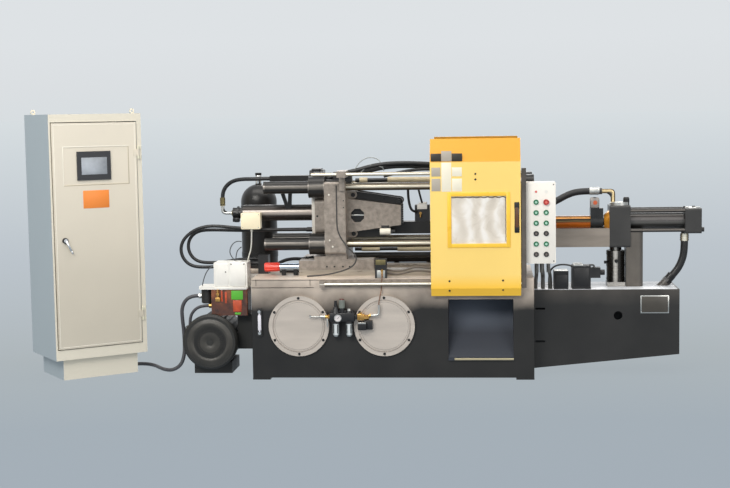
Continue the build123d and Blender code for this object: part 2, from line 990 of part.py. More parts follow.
def door_sheet_shape(left, width):
    """The sheet folded back at its top and bottom, with a return flange down each side."""
    outer = door_outline(0)
    inner = door_outline(door_sheet)
    outline = Plane.YZ * Polygon(*outer, *reversed(inner), align=None)
    sheet = Pos(left + width / 2, 0, 0) * extrude(outline, width / 2, both=True)
    for x in (middle(left, door_sheet), middle(left + width - door_sheet, door_sheet)):
        sheet += block(x, middle(door_face, door_flange), (door_low_fold, door_fold))
    return sheet


def window_place(left):
    x = middle(left + window_left_inset, window_width)
    z = middle(window_bottom, window_height)
    return x, z


def guard_panel(left):
    """A guard panel with its window opening and raised window frame."""
    x, z = window_place(left)
    body = door_sheet_shape(left, door_width)
    body += block(x, (door_face - window_rim_thickness, door_face), z)
    light = block(
        (x[0] + window_rim, x[1] - window_rim),
        (door_face - window_rim_thickness - cut_over, door_face + door_sheet + cut_over),
        (z[0] + window_rim, z[1] - window_rim),
    )
    return body - light


def window_sheet(left):
    x, z = window_place(left)
    y = middle(door_face + door_sheet, window_pane)
    return block(x, y, z)


def handle_place():
    x = (door_right - handle_inset - handle_width, door_right - handle_inset)
    return x, middle(handle_bottom, handle_height)


def guard_door():
    x, z = handle_place()
    body = guard_panel(door_left)
    y = (door_face - cut_over, door_face + door_sheet + cut_over)
    body -= block((x[0], x[1]), y, z)
    for height in (top_rail_height, bottom_rail_height):
        for place in (door_left + bearing_inset, door_right - bearing_inset - bearing_length):
            body += block(
                middle(place, bearing_length),
                (door_face + door_sheet, rail_line + rail_radius + bearing_wall),
                about(height, bearing_height),
            )
        body -= bar_x(
            (door_left - cut_over, door_right + cut_over), rail_line, height, rail_radius + fit_gap
        )
    return body


def door_handle():
    x, z = handle_place()
    x = (x[0] + fit_gap, x[1] - fit_gap)
    z = (z[0] + fit_gap, z[1] - fit_gap)
    cup = block(x, (door_face, door_face + handle_depth), z)
    hollow = block(
        (x[0] + handle_wall, x[1] - handle_wall),
        (door_face - cut_over, door_face + handle_depth - handle_wall),
        (z[0] + handle_wall, z[1] - handle_wall),
    )
    return cup - hollow


def rear_guard():
    """A fixed guard of the same folded sheet behind the die space, on two arms."""
    panel = mirror(door_sheet_shape(door_left, door_width), Plane.XZ)
    low = platen_bottom + platen_edge_radius
    high = platen_top - platen_edge_radius - guard_arm_height
    for z in (low, high):
        panel += block(
            middle(fixed_left, guard_arm_height),
            (platen_width / 2, -door_face - door_sheet),
            middle(z, guard_arm_height),
        )
    return panel


def shot_sleeve():
    x = (fixed_left, fixed_right + sleeve_reach)
    sleeve = bar_x(x, 0, shot_axis_height, sleeve_radius)
    return sleeve - bar_x((x[0] - cut_over, x[1] + cut_over), 0, shot_axis_height, plunger_radius + fit_gap)


def plunger_rod():
    x = (coupling_left - plunger_length, coupling_left)
    return bar_x(x, 0, shot_axis_height, plunger_radius)


def shot_coupling():
    """The clamp between plunger and shot rod, with its upright lug, and the rod itself."""
    body = bar_x((coupling_left, coupling_right), 0, shot_axis_height, coupling_radius)
    body += block(
        (coupling_left, coupling_right),
        about(0, coupling_block_width),
        (shot_axis_height, shot_axis_height + coupling_block_top),
    )
    lug_round = coupling_lug_length / 2
    lug_high = shot_axis_height + coupling_lug_top - lug_round
    lug_x = coupling_left + lug_round
    body += block(
        middle(coupling_left, coupling_lug_length), about(0, coupling_lug_width), (shot_axis_height, lug_high)
    )
    body += bar_y(lug_x, about(0, coupling_lug_width), lug_high, lug_round)
    rod = (coupling_right, coupling_right + shot_gap + shot_head_length + shot_rod_entry_length)
    return body + bar_x(rod, 0, shot_axis_height, shot_rod_radius)


def shot_head():
    """Head block with gland, round cap, plug, and the elbow that the top hose is crimped to."""
    body = block((head_left, head_right), about(0, shot_head_width), (shot_head_bottom, shot_head_top))
    body = fillet(body.edges().filter_by(Axis.X), platen_edge_radius)
    body += bar_x((head_left - shot_gland_length, head_left), 0, shot_axis_height, shot_gland_radius)
    centre = (head_left + head_right) / 2
    cap_top = shot_head_top + shot_cap_height
    body += bar_z(centre, 0, (shot_head_top, cap_top), shot_cap_radius)
    body += bar_z(
        head_right - shot_plug_inset, 0, middle(shot_head_top, shot_plug_height), shot_plug_radius
    )
    bore = (head_left - shot_gland_length - cut_over, head_right + cut_over)
    body -= bar_x(bore, 0, shot_axis_height, shot_rod_radius + fit_gap)
    foot = head_left + shot_elbow_along
    height = shot_head_top + shot_elbow_rise
    path = FilletPolyline(
        (foot, shot_hose_side, shot_head_top),
        (foot, shot_hose_side, height),
        (foot - shot_elbow_reach, shot_hose_side, height),
        radius=shot_elbow_bend,
    )
    body += sweep(Plane(path @ 0, z_dir=path % 0) * Circle(shot_elbow_radius), path=path)
    ferrule_right = foot - shot_elbow_reach
    return body + bar_x(
        (ferrule_right - shot_ferrule_length, ferrule_right), shot_hose_side, height, shot_ferrule_radius
    )


def shot_tube():
    tube = bar_x((head_right, tube_right), 0, shot_axis_height, shot_tube_radius)
    bore = bar_x((head_right - cut_over, tube_right + cut_over), 0, shot_axis_height, shot_tube_bore)
    return tube - bore


def shot_end_cap():
    """End block with a plug on its end and the ferrule of the low hose below."""
    middle_z = shot_axis_height + shot_end_drop
    body = block((tube_right, end_right), about(0, shot_end_height), about(middle_z, shot_end_height))
    body = fillet(body.edges().filter_by(Axis.X), platen_edge_radius)
    plug_z = middle_z - shot_end_plug_drop
    body += bar_x((end_right, end_right + shot_end_plug_length), 0, plug_z, shot_end_plug_radius)
    low = middle_z - shot_end_height / 2
    ferrule_z = (low - low_ferrule_length, low + platen_edge_radius)
    return body + bar_z(tube_right + low_ferrule_inset, 0, ferrule_z, low_ferrule_radius)


def shot_tie_rods():
    half = shot_tie_spacing / 2
    centre = shot_axis_height + shot_tie_rise
    return group(
        bar_x((head_right, tube_right), y, centre + z, shot_tie_radius)
        for y in (-half, half)
        for z in (-half, half)
    )


def shot_beams():
    beam = block(
        (fixed_right, head_left), about(-beam_spacing / 2, beam_thickness), (beam_top - beam_height, beam_top)
    )
    return group(pair(beam))


def shot_column():
    """A heavy post, rounded on its far side, that carries the shot cylinder's weight."""
    left = head_right - column_back
    right = left + column_length
    tie_bottom = shot_axis_height + shot_tie_rise - shot_tie_spacing / 2 - shot_tie_radius
    shaft = block((left, right), about(0, column_width), (extension_top, shot_head_bottom))
    upper = block((head_right, right), about(0, column_width), (shot_head_bottom, tie_bottom))
    post = shaft + upper
    far = post.edges().filter_by(Axis.Z).group_by(Axis.X)[-1]
    return fillet(far, column_round)


def shot_jack():
    """A stout round jack on a base plate, with a chamfered shoulder and a neck."""
    x = head_right - column_back - jack_from_column
    base_top = extension_top + jack_base_height
    shoulder = shot_head_bottom - jack_neck_height
    jack = bar_z(x, 0, (base_top, shoulder), jack_radius)
    jack = chamfer(jack.edges().group_by(Axis.Z)[-1], jack_shoulder)
    base = block(
        (x - jack_radius, x + jack_radius),
        about(0, jack_base_length),
        (extension_top, base_top),
    )
    return base + jack + bar_z(x, 0, (shoulder, shot_head_bottom), jack_neck_radius)


def valve_blocks():
    """Two valves on the extension, the port block and pilot valve on the bed, one on the thrust bar."""
    y = middle(-extension_depth / 2 + block_front_inset, block_depth)
    left = fixed_right + block_a_from_platen
    small = block(middle(left, block_a_length), y, middle(extension_top, block_a_height))
    left += block_a_length + block_b_from_a
    large = block(middle(left, block_b_length), y, middle(extension_top, block_b_height))
    coil_left = left + block_b_length
    coil_z = extension_top + block_b_height - coil_b_drop - coil_b_height
    coil_y = middle(y[0], coil_b_depth)
    large += block(middle(coil_left, coil_b_length), coil_y, middle(coil_z, coil_b_height))
    large += bar_x(
        middle(coil_left + coil_b_length, coil_knob_length),
        y[0] + coil_b_depth / 2,
        coil_z + coil_b_height / 2,
        coil_knob_radius,
    )
    ports = block(
        middle(bed_left, port_block_length),
        (port_block_back - port_block_depth, port_block_back),
        middle(bed_top, port_block_height),
    )
    thrust_top = clamp_middle - crosshead_height / 2
    slide = block(
        (moving_left - slide_valve_from_platen - slide_valve_length, moving_left - slide_valve_from_platen),
        about(0, slide_valve_width),
        middle(thrust_top, slide_valve_height),
    )
    pilot = block(
        middle(bed_left + pilot_valve_left_inset, pilot_valve_length),
        middle(bed_front + pilot_valve_clear_of_front, pilot_valve_depth),
        middle(bed_top, pilot_valve_height),
    )
    return group([small, large, ports, slide, pilot])


def oil_strainer():
    """A capped steel strainer lying in two saddles on the bed."""
    left = bed_left + strainer_left_inset
    cap_right = left + strainer_cap_length
    z = bed_top + strainer_height
    body = bar_x((left, cap_right), -strainer_front, z, strainer_cap_radius)
    body += bar_x(middle(cap_right, strainer_length), -strainer_front, z, strainer_radius)
    for x in (cap_right + saddle_length, cap_right + strainer_length - saddle_length):
        body += block(about(x, saddle_length), about(-strainer_front, saddle_width), (bed_top, z))
    return body


def box_place():
    x = middle(fixed_right + box_clear_of_platen, box_width)
    y = middle(-platen_width / 2 - box_lid - box_depth, box_depth)
    return x, y, middle(box_bottom, box_height)


def button_box():
    x, y, z = box_place()
    body = fillet(block(x, y, z).edges().filter_by(Axis.Y), bed_edge_radius)
    plate_x = (fixed_right - box_plate_lap, x[1])
    return body + block(plate_x, middle(y[1], box_lid), about((z[0] + z[1]) / 2, box_arm_height))


def push_buttons():
    x, y, z = box_place()
    centre = (x[0] + x[1]) / 2
    buttons = []
    for row in range(button_rows):
        for side in (-1, 1):
            buttons.append(
                bar_y(
                    centre + side * button_column_pitch / 2,
                    (y[0] - button_height, y[0]),
                    z[1] - button_top_inset - row * button_pitch,
                    button_radius,
                )
            )
    return group(buttons)


def accumulator():
    """A gas bottle with a domed shoulder and a valve neck, turned as one body."""
    top = bed_top + bottle_height
    spring = top - bottle_dome_radius
    neck_top = top + bottle_neck_height
    cover = math.asin(bottle_neck_radius / bottle_dome_radius)
    dome_end = (bottle_neck_radius, spring + bottle_dome_radius * math.cos(cover))
    turn = (math.pi / 2 - cover) / 2
    dome_middle = (bottle_dome_radius * math.cos(turn), spring + bottle_dome_radius * math.sin(turn))
    outline = Polyline((0, neck_top), (0, bed_top), (bottle_radius, bed_top), (bottle_radius, spring))
    outline += ThreePointArc((bottle_radius, spring), dome_middle, dome_end)
    outline += Polyline(dome_end, (bottle_neck_radius, neck_top), (0, neck_top))
    bottle = revolve(Plane.XZ * make_face(outline), Axis.Z)
    return Pos(bed_left - bottle_out, bottle_back, 0) * bottle


def accumulator_shelf():
    """A bracketed shelf on the left end of the bed, level with its top."""
    x = (bed_left - shelf_length, bed_left)
    centre = bed_back - shelf_width / 2
    shelf = block(x, about(centre, shelf_width), (bed_top - shelf_thickness, bed_top))
    points = [
        (bed_left, bed_top - shelf_thickness),
        (bed_left - shelf_gusset, bed_top - shelf_thickness),
        (bed_left, bed_top - shelf_thickness - shelf_gusset),
    ]
    gusset = Pos(0, centre, 0) * side_profile(points, shelf_thickness)
    return shelf + gusset


def motor_span():
    front = -motor_front
    return front, front + motor_cover_length, front + motor_cover_length + motor_length


def motor_body():
    """A finned shell on a foot block, with the terminal box on its left."""
    _, start, end = motor_span()
    core = bar_y(motor_centre, (start, end), motor_axis_height, motor_radius - motor_fin_height)
    fin = block(
        (motor_radius / 2, motor_radius), (start, end), about(0, motor_fin_width)
    )
    for number in range(motor_fin_count):
        core += Pos(motor_centre, 0, motor_axis_height) * Rot(0, number * 360 / motor_fin_count, 0) * fin
    base = block(
        about(motor_centre, motor_base_width),
        (start + motor_cover_length, end - motor_cover_length),
        (0, motor_base_height),
    )
    terminals = block(
        middle(motor_centre - terminal_left, terminal_length),
        middle(-terminal_front, terminal_depth),
        middle(motor_axis_height + terminal_bottom, terminal_height),
    )
    return core + base + terminals


def motor_cover():
    front, start, _ = motor_span()
    cover = bar_y(motor_centre, (front, start), motor_axis_height, motor_cover_radius)
    return chamfer(cover.edges().group_by(Axis.Y)[0], platen_edge_radius)


def pump():
    _, _, end = motor_span()
    flange = bar_y(motor_centre, middle(end, pump_flange_length), motor_axis_height, pump_flange_radius)
    start = end + pump_flange_length
    x = (motor_centre + motor_radius, bed_left)
    bridge = block(x, about(0, pump_bridge_width), (pump_bridge_bottom, pump_bridge_top))
    body = flange + bar_y(motor_centre, middle(start, pump_length), motor_axis_height, pump_radius)
    return group([body, bridge])


def lubricator():
    """White pump head on a bracket, with its small black motor under the flange at the left."""
    y = middle(-lube_front, lube_depth)
    body = block((lube_left, lube_right), y, (lube_bottom, lube_top))
    body = fillet(body.edges().filter_by(Axis.Y), bed_edge_radius)
    flange_left = lube_left - lube_flange_beyond
    body += block((flange_left, lube_left + lube_flange), y, middle(lube_bottom, lube_flange))
    motor_x = flange_left + lube_motor_inset
    motor_y = (y[0] + y[1]) / 2
    body += bar_z(motor_x, motor_y, (lube_bottom - lube_motor_height, lube_bottom), lube_motor_radius)
    gland_right = motor_x - lube_motor_radius + lube_gland_length
    gland_x = (gland_right - 2 * lube_gland_length, gland_right)
    body += bar_x(gland_x, motor_y, lube_bottom - lube_gland_drop, lube_gland_radius)
    bracket = block(
        (lube_right, bed_left),
        middle(y[1] - lube_bracket_thickness, lube_bracket_thickness),
        (lube_bottom, bed_top),
    )
    return body + bracket


def lubricator_tank():
    """The oil tank under the pump head, with the cable gland at its left."""
    y = middle(-lube_front, lube_depth)
    left = lube_left - lube_tank_beyond
    body = block((left, lube_right), y, (lube_bottom - lube_tank_height, lube_bottom))
    body = fillet(body.edges().filter_by(Axis.Z), bed_edge_radius)
    tap_z = lube_bottom - lube_tap_drop
    return body + bar_x(
        (left - lube_tap_length, left), y[0] + lube_tap_inset, tap_z, lube_tap_radius
    )


def air_unit():
    """Filter and regulator with two bowls on a stand-off, and the valve piped to them."""
    x = middle(bed_left + air_left_inset, air_width)
    y = (bed_front - air_stand - air_depth, bed_front - air_stand)
    body = block(x, y, (air_top - air_height, air_top))
    centre = bed_left + air_left_inset + air_width / 2
    bracket = (air_top - air_height / 2, air_top)
    body += block(about(centre, air_bracket_width), (bed_front - air_stand, bed_front), bracket)
    bowl = (air_top - air_height - bowl_height, air_top - air_height)
    for side in (-1, 1):
        body += bar_z(centre + side * bowl_spacing / 2, (y[0] + y[1]) / 2, bowl, bowl_radius)
    return body + air_valve()


def air_valve():
    unit_right = bed_left + air_left_inset + air_width
    x = middle(unit_right + valve_nipple, valve_width)
    y = (bed_front - air_stand - valve_depth, bed_front - air_stand)
    low = valve_top - valve_height
    body = block(x, y, (low, valve_top))
    body += block(middle(x[0], coil_width), y, (low - coil_height, low))
    return body + bar_x((unit_right, x[0]), (y[0] + y[1]) / 2, (low + valve_top) / 2, valve_nipple)


def junction_box():
    left = clamp_left_end() + junction_along
    back = -clamp_cylinder_radius - junction_reach
    y = (back - junction_depth, back)
    z = about(clamp_axis_height - clamp_cylinder_radius + junction_arm / 2, junction_height)
    body = fillet(block(middle(left, junction_width), y, z).edges().filter_by(Axis.Y), bed_edge_radius)
    arm = block(
        about(left + junction_width / 2, junction_reach),
        (back, -clamp_cylinder_radius - fit_gap),
        about(clamp_axis_height, junction_arm),
    )
    return body + arm


def clamp_left_end():
    return clamp_flange_left() - clamp_cylinder_length


def at_cabinet(shape):
    """Turn and place a piece drawn at the cabinet's own front left foot."""
    return Pos(cabinet_left, cabinet_front, 0) * Rot(0, 0, cabinet_turn) * shape


def cabinet_plinth():
    x = (plinth_inset, cabinet_width - plinth_inset)
    y = (plinth_front_inset, cabinet_depth - plinth_front_inset)
    return at_cabinet(block(x, y, (0, plinth_height)))


def cabinet_walls():
    """Two side walls folded in as stiles at the front, and the back panel between them."""
    z = (plinth_height, cabinet_top)
    left = block((0, cabinet_wall), (0, cabinet_depth), z)
    left += block((0, stile_left), (0, frame_depth), z)
    right = block((cabinet_width - cabinet_wall, cabinet_width), (0, cabinet_depth), z)
    right += block((cabinet_width - stile_right, cabinet_width), (0, frame_depth), z)
    x = (cabinet_wall + fit_gap, cabinet_width - cabinet_wall - fit_gap)
    back = block(x, (cabinet_depth - cabinet_wall, cabinet_depth), z)
    return at_cabinet(group([left, right, back]))


def cabinet_ends():
    """Floor and roof, each folded at the front as the frame's sill and header, with two lifting eyes."""
    x = (cabinet_wall, cabinet_width - cabinet_wall)
    front_x = (stile_left, cabinet_width - stile_right)
    y = (frame_depth, cabinet_depth - cabinet_wall)
    low = block(x, y, middle(plinth_height, cabinet_wall))
    low += block(front_x, (0, frame_depth), middle(plinth_height, rail_low))
    high = block(x, y, (cabinet_top - cabinet_wall, cabinet_top))
    high += block(front_x, (0, frame_depth), (cabinet_top - rail_high, cabinet_top))
    far = (eye_left_inset, cabinet_depth - eye_front_inset)
    near = (cabinet_width - eye_left_inset, eye_front_inset)
    for place in (far, near):
        high += lifting_eye(*place)
    return at_cabinet(group([low, high]))


def lifting_eye(x, y):
    z = cabinet_top + eye_radius
    ring = bar_y(x, about(y, eye_thickness), z, eye_radius)
    ring -= bar_y(x, about(y, 2 * eye_thickness), z, eye_radius - eye_thickness)
    return ring + bar_z(x, y, (cabinet_top, cabinet_top + eye_thickness), eye_radius)


def cabinet_door_span():
    """The door inside its frame, across and up."""
    x = (stile_left + door_gap, cabinet_width - stile_right - door_gap)
    z = (plinth_height + rail_low + door_gap, cabinet_top - rail_high - door_gap)
    return x, z


def hinge_axis():
    x, _ = cabinet_door_span()
    return x[1] + hinge_from_door, -hinge_stand


def hinge_heights():
    return (hinge_low, hinge_high)


def cabinet_door():
    """The door panel, with a shallow recess round the screen and a knuckle at each hinge."""
    x, z = cabinet_door_span()
    y = (-door_proud, cabinet_door_thickness - door_proud)
    body = fillet(block(x, y, z).edges().filter_by(Axis.Y), hinge_leaf)
    body -= block(
        middle(panel_left, panel_width),
        (-door_proud - cut_over, -door_proud + panel_depth),
        middle(panel_bottom, panel_height),
    )
    axis_x, axis_y = hinge_axis()
    for height in hinge_heights():
        span = about(height, hinge_length / 2 - fit_gap)
        body += block((x[1] - hinge_leaf_length, axis_x), (-door_proud - hinge_leaf, -door_proud), span)
        body += bar_z(axis_x, axis_y, span, hinge_radius)
        body -= bar_z(axis_x, axis_y, about(height, hinge_length), hinge_pin_radius + pin_clearance)
    return at_cabinet(body)


def cabinet_hinges():
    """Pins with an upper and a lower knuckle, each on a leaf on the frame."""
    axis_x, axis_y = hinge_axis()
    knuckle = hinge_length / 4
    hinges = []
    for height in hinge_heights():
        hinge = bar_z(axis_x, axis_y, about(height, hinge_length), hinge_pin_radius)
        for side in (-1, 1):
            span = about(height + side * (hinge_length - knuckle) / 2, knuckle)
            hinge += bar_z(axis_x, axis_y, span, hinge_radius)
            hinge += block((axis_x, axis_x + hinge_leaf), (axis_y, 0), span)
            hinge += block((axis_x, axis_x + hinge_leaf_length), (-hinge_leaf, 0), span)
        hinges.append(hinge)
    return at_cabinet(group(hinges))


def cabinet_screen():
    y = (-door_proud - screen_depth, -door_proud + panel_depth)
    return at_cabinet(block(middle(screen_left, screen_width), y, middle(screen_bottom, screen_height)))


def cabinet_lock():
    y = (-door_proud - lock_depth, -door_proud)
    return at_cabinet(block(about(lock_inset, lock_width), y, about(lock_middle, lock_height)))


def tube(name, points, radius):
    """A plain round tube along straight runs joined by arcs as large as the runs allow."""
    places = [Vector(*point) for point in points]
    radii = []
    for before, here, after in zip(places, places[1:], places[2:]):
        turn = (here - before).get_angle(after - here)
        run = min((here - before).length, (after - here).length)
        radii.append(arc_share * run / math.tan(math.radians(turn / 2)))
    path = FilletPolyline(*points, radius=radii)
    solid = sweep(Plane(path @ 0, z_dir=path % 0) * Circle(radius), path=path)
    ratio = solid.volume / (math.pi * radius * radius * path.length)
    print(name, "length", round(path.length), "tightest", round(min(radii)), "volume share", round(ratio, 4))
    return solid


nodes = {
    "bed_body": bed_body(),
    "chute": group([chute_slope(), chute_lip()]),
    "access_covers": group(access_cover(centre) for centre in cover_centres()),
    "oil_gauge": oil_gauge(),
    "bed_extension": bed_extension(),
    "way_plates": way_plates(),
    "rear_platen": rear_platen(),
    "rear_platen_base": rear_platen_base(),
    "moving_platen": plain_platen((moving_left, moving_right)),
    "fixed_platen": fixed_platen(),
    "tie_bars": tie_bars(),
    "tie_bar_nuts": tie_bar_nuts(),
    "clamp_cylinder": clamp_cylinder(),
    "clamp_rod": clamp_rod(),
    "clamp_cheeks": clamp_cheeks(),
    "crosshead": crosshead(),
    "toggle_links": group([toggle_links(), toggle_pins()]),
    "guard_rails": guard_rails(),
    "guard_post": guard_post(),
    "rail_supports": group([rail_bracket(), rail_strip()]),
    "guard_door": guard_door(),
    "guard_window": window_sheet(door_left),
    "guard_handle": door_handle(),
    "rear_guard": rear_guard(),
    "shot_sleeve": shot_sleeve(),
    "plunger_rod": plunger_rod(),
    "shot_coupling": shot_coupling(),
    "shot_head": shot_head(),
    "shot_tube": group([shot_tube(), shot_tie_rods()]),
    "shot_end_cap": shot_end_cap(),
    "shot_beams": shot_beams(),
    "shot_column": shot_column(),
    "shot_jack": shot_jack(),
    "valve_blocks": valve_blocks(),
    "oil_strainer": oil_strainer(),
    "button_box": button_box(),
    "push_buttons": push_buttons(),
    "accumulator": accumulator(),
    "accumulator_shelf": accumulator_shelf(),
    "motor_body": motor_body(),
    "motor_cover": motor_cover(),
    "pump": pump(),
    "lubricator": lubricator(),
    "lubricator_tank": lubricator_tank(),
    "air_unit": air_unit(),
    "junction_box": junction_box(),
    "cabinet_plinth": cabinet_plinth(),
    "cabinet_walls": cabinet_walls(),
    "cabinet_ends": cabinet_ends(),
    "cabinet_door": cabinet_door(),
    "cabinet_hinges": cabinet_hinges(),
    "cabinet_screen": cabinet_screen(),
    "cabinet_lock": cabinet_lock(),
    "floor_cable": tube("floor_cable", floor_cable_route, floor_cable_radius),
    "conduit_cable": tube("conduit_cable", conduit_route, conduit_radius),
    "clamp_top_hose": tube("clamp_top_hose", clamp_hose_route, clamp_hose_radius),
    "outer_loop_hose": tube("outer_loop_hose", outer_loop_route, loop_hose_radius),
    "inner_loop_hose": tube("inner_loop_hose", inner_loop_route, loop_hose_radius),
    "shot_top_hose": tube("shot_top_hose", shot_top_route, shot_top_radius),
    "shot_low_hose": tube("shot_low_hose", shot_low_route, shot_low_radius),
}

os.makedirs("parts", exist_ok=True)
for name, shape in nodes.items():
    export_step(shape, f"parts/{name}.step")
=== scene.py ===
import math
import bmesh
import bpy
from mathutils import Matrix, Vector


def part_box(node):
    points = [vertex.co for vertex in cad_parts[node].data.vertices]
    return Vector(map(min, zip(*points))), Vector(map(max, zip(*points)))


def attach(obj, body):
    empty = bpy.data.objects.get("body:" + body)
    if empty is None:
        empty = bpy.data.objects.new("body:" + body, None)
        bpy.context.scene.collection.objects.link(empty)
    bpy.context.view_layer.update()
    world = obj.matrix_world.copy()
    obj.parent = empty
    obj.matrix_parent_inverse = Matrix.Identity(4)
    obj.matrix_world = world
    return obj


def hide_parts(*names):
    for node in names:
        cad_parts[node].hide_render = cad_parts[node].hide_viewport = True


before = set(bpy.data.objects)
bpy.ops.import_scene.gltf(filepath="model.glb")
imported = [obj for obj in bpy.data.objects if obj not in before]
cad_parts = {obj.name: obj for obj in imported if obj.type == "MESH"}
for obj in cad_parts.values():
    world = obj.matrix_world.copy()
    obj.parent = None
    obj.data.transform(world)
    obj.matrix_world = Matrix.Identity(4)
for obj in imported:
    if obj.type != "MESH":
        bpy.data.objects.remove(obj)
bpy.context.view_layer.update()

# The room: a long lens at standing height a little right of the machine's middle, turned left and
# down, over a plain pale floor that fades into the background, with soft lamps all round.
focal_pixels = 1405
photo_width = 730
eye = Vector((0.5449, -8.4089, 1.5541))
yaw = math.radians(4.92)
pitch = math.radians(5.36)
roll = math.radians(-0.90)
look = Vector((-math.sin(yaw) * math.cos(pitch), math.cos(yaw) * math.cos(pitch), -math.sin(pitch)))
level = Vector((math.cos(yaw), math.sin(yaw), 0))
upright = level.cross(look)
side = math.cos(roll) * level + math.sin(roll) * upright
top = math.cos(roll) * upright - math.sin(roll) * level
lens = bpy.data.cameras.new("camera")
lens.sensor_fit = "HORIZONTAL"
lens.sensor_width = 36
lens.lens = focal_pixels / photo_width * lens.sensor_width
lens.clip_end = 2000
camera = bpy.data.objects.new("camera", lens)
camera.matrix_world = Matrix.Translation(eye) @ Matrix((side, top, -look)).transposed().to_4x4()
bpy.context.scene.collection.objects.link(camera)
bpy.context.scene.camera = camera
bpy.context.scene.view_settings.view_transform = "Standard"


def tone(colour):
    """A display colour, three parts from 0 to 255, as the linear values a shader takes."""
    return (*(v / 255 / 12.92 if v < 11 else ((v / 255 + 0.055) / 1.055) ** 2.4 for v in colour), 1.0)


class Net:
    """A tree of shader or geometry nodes in the making."""

    def __init__(self, tree):
        self.tree = tree

    def fill(self, node, feeds):
        """Give inputs of a node their values, or link them to the outputs that drive them."""
        for name, value in feeds.items():
            if isinstance(value, bpy.types.NodeSocket):
                self.tree.links.new(value, node.inputs[name])
            else:
                node.inputs[name].default_value = value
        return node

    def add(self, kind, feeds={}, **settings):
        """A new node with its settings and its inputs filled."""
        node = self.tree.nodes.new(kind if "Node" in kind else "ShaderNode" + kind)
        for name, value in settings.items():
            setattr(node, name, value)
        return self.fill(node, feeds)

    def ramp(self, source, stops):
        """Colours along source, from (place, colour) stops; a colour of three parts is a display colour."""
        node = self.add("ValToRGB", {"Fac": source})
        elements = node.color_ramp.elements
        while len(elements) < len(stops):
            elements.new(0.5)
        for element, (place, colour) in zip(elements, stops):
            element.position = place
            element.color = colour if len(colour) == 4 else tone(colour)
        return node.outputs["Color"]

    def spread(self, source, low, high, start=0.0, end=1.0):
        """Map source from the range low..high to start..end, clamped."""
        ranges = {"From Min": low, "From Max": high, "To Min": start, "To Max": end}
        return self.add("MapRange", {"Value": source, **ranges}).outputs["Result"]

    def math(self, operation, *sources, clamp=False):
        return self.add("Math", dict(enumerate(sources)), operation=operation, use_clamp=clamp).outputs[0]

    def mix(self, share, first, second):
        return self.add("Mix", {0: share, 6: first, 7: second}, data_type="RGBA").outputs[2]


world = bpy.data.worlds.new("studio")
bpy.context.scene.world = world
world.use_nodes = True
world.node_tree.nodes.clear()
net = Net(world.node_tree)
rays = net.add("LightPath").outputs
shown = net.math("ADD", rays["Is Camera Ray"], rays["Is Glossy Ray"], clamp=True)
shown = net.math("ADD", shown, rays["Is Transmission Ray"], clamp=True)
rise = net.add("SeparateXYZ", {0: net.add("TexCoord").outputs["Generated"]}).outputs["Z"]
horizon = (215, 221, 224)
air = net.ramp(net.spread(rise, -0.012, 0.05), [(0, horizon), (0.5, (219, 223, 226)), (1, (222, 226, 229))])
sky = net.add("Background", {"Color": air})
soft = net.add("Background", {"Color": (1.0, 0.98, 0.95, 1), "Strength": 0.42})
mix = net.add("MixShader", {0: shown, 1: soft.outputs[0], 2: sky.outputs[0]})
net.add("OutputWorld", {"Surface": mix.outputs[0]})


def new_material(name):
    """A material, the net of its nodes and its one shader."""
    material = bpy.data.materials.new(name)
    material.use_nodes = True
    return material, Net(material.node_tree), material.node_tree.nodes["Principled BSDF"]


def floor_material():
    """A backdrop floor: its shade follows the slope of the line of sight, so that it meets the sky unseen."""
    material, net, shader = new_material("studio floor")
    sight = net.add("NewGeometry").outputs["Incoming"]
    rise = net.add("SeparateXYZ", {0: sight}).outputs["Z"]
    flat = net.add("VectorMath", {0: sight, 1: (1, 1, 0)}, operation="MULTIPLY").outputs[0]
    slope = net.math("DIVIDE", rise, net.add("VectorMath", {0: flat}, operation="LENGTH").outputs["Value"])
    shade = net.ramp(net.spread(slope, 0.0, 0.268), [
        (0, horizon), (0.085, (208, 215, 219)), (0.37, (186, 194, 201)), (0.63, (170, 178, 182)),
        (0.82, (160, 170, 178)), (1, (159, 169, 178)),
    ])
    net.fill(shader, {"Emission Color": shade, "Emission Strength": 1.0, "Base Color": tone((38, 41, 44)),
                      "Roughness": 1.0, "Specular IOR Level": 0.0})
    return material


floor_reach = 600
ground = bpy.data.meshes.new("ground")
ground.from_pydata([(x, y, 0) for x, y in ((-1, -1), (1, -1), (1, 1), (-1, 1))], [], [(0, 1, 2, 3)])
ground.transform(Matrix.Scale(floor_reach, 4))
ground.materials.append(floor_material())
floor = bpy.data.objects.new("ground", ground)
bpy.context.scene.collection.objects.link(floor)


def lamp(name, spot, aim, size, power, warmth):
    """A soft rectangular lamp at spot that shines towards aim."""
    light = bpy.data.lights.new(name, "AREA")
    light.color = warmth
    light.shape = "RECTANGLE"
    light.size, light.size_y = size
    light.energy = power
    item = bpy.data.objects.new(name, light)
    facing = (Vector(aim) - Vector(spot)).to_track_quat("-Z", "Y")
    item.matrix_world = Matrix.Translation(spot) @ facing.to_matrix().to_4x4()
    bpy.context.scene.collection.objects.link(item)


lamp("key", (-2.5, -6.0, 4.6), (0, 0, 0.7), (4.0, 2.5), 322, (1.0, 0.97, 0.92))
lamp("fill", (5.0, -6.0, 2.6), (0.3, 0, 0.6), (3.0, 3.0), 124, (1.0, 0.97, 0.93))
lamp("overhead", (0, -0.6, 5.0), (0, -0.2, 0), (6.0, 2.0), 134, (1.0, 0.97, 0.92))
lamp("back", (0.5, 6.0, 4.0), (0, 0, 0.8), (5.0, 2.0), 130, (1.0, 0.98, 0.96))


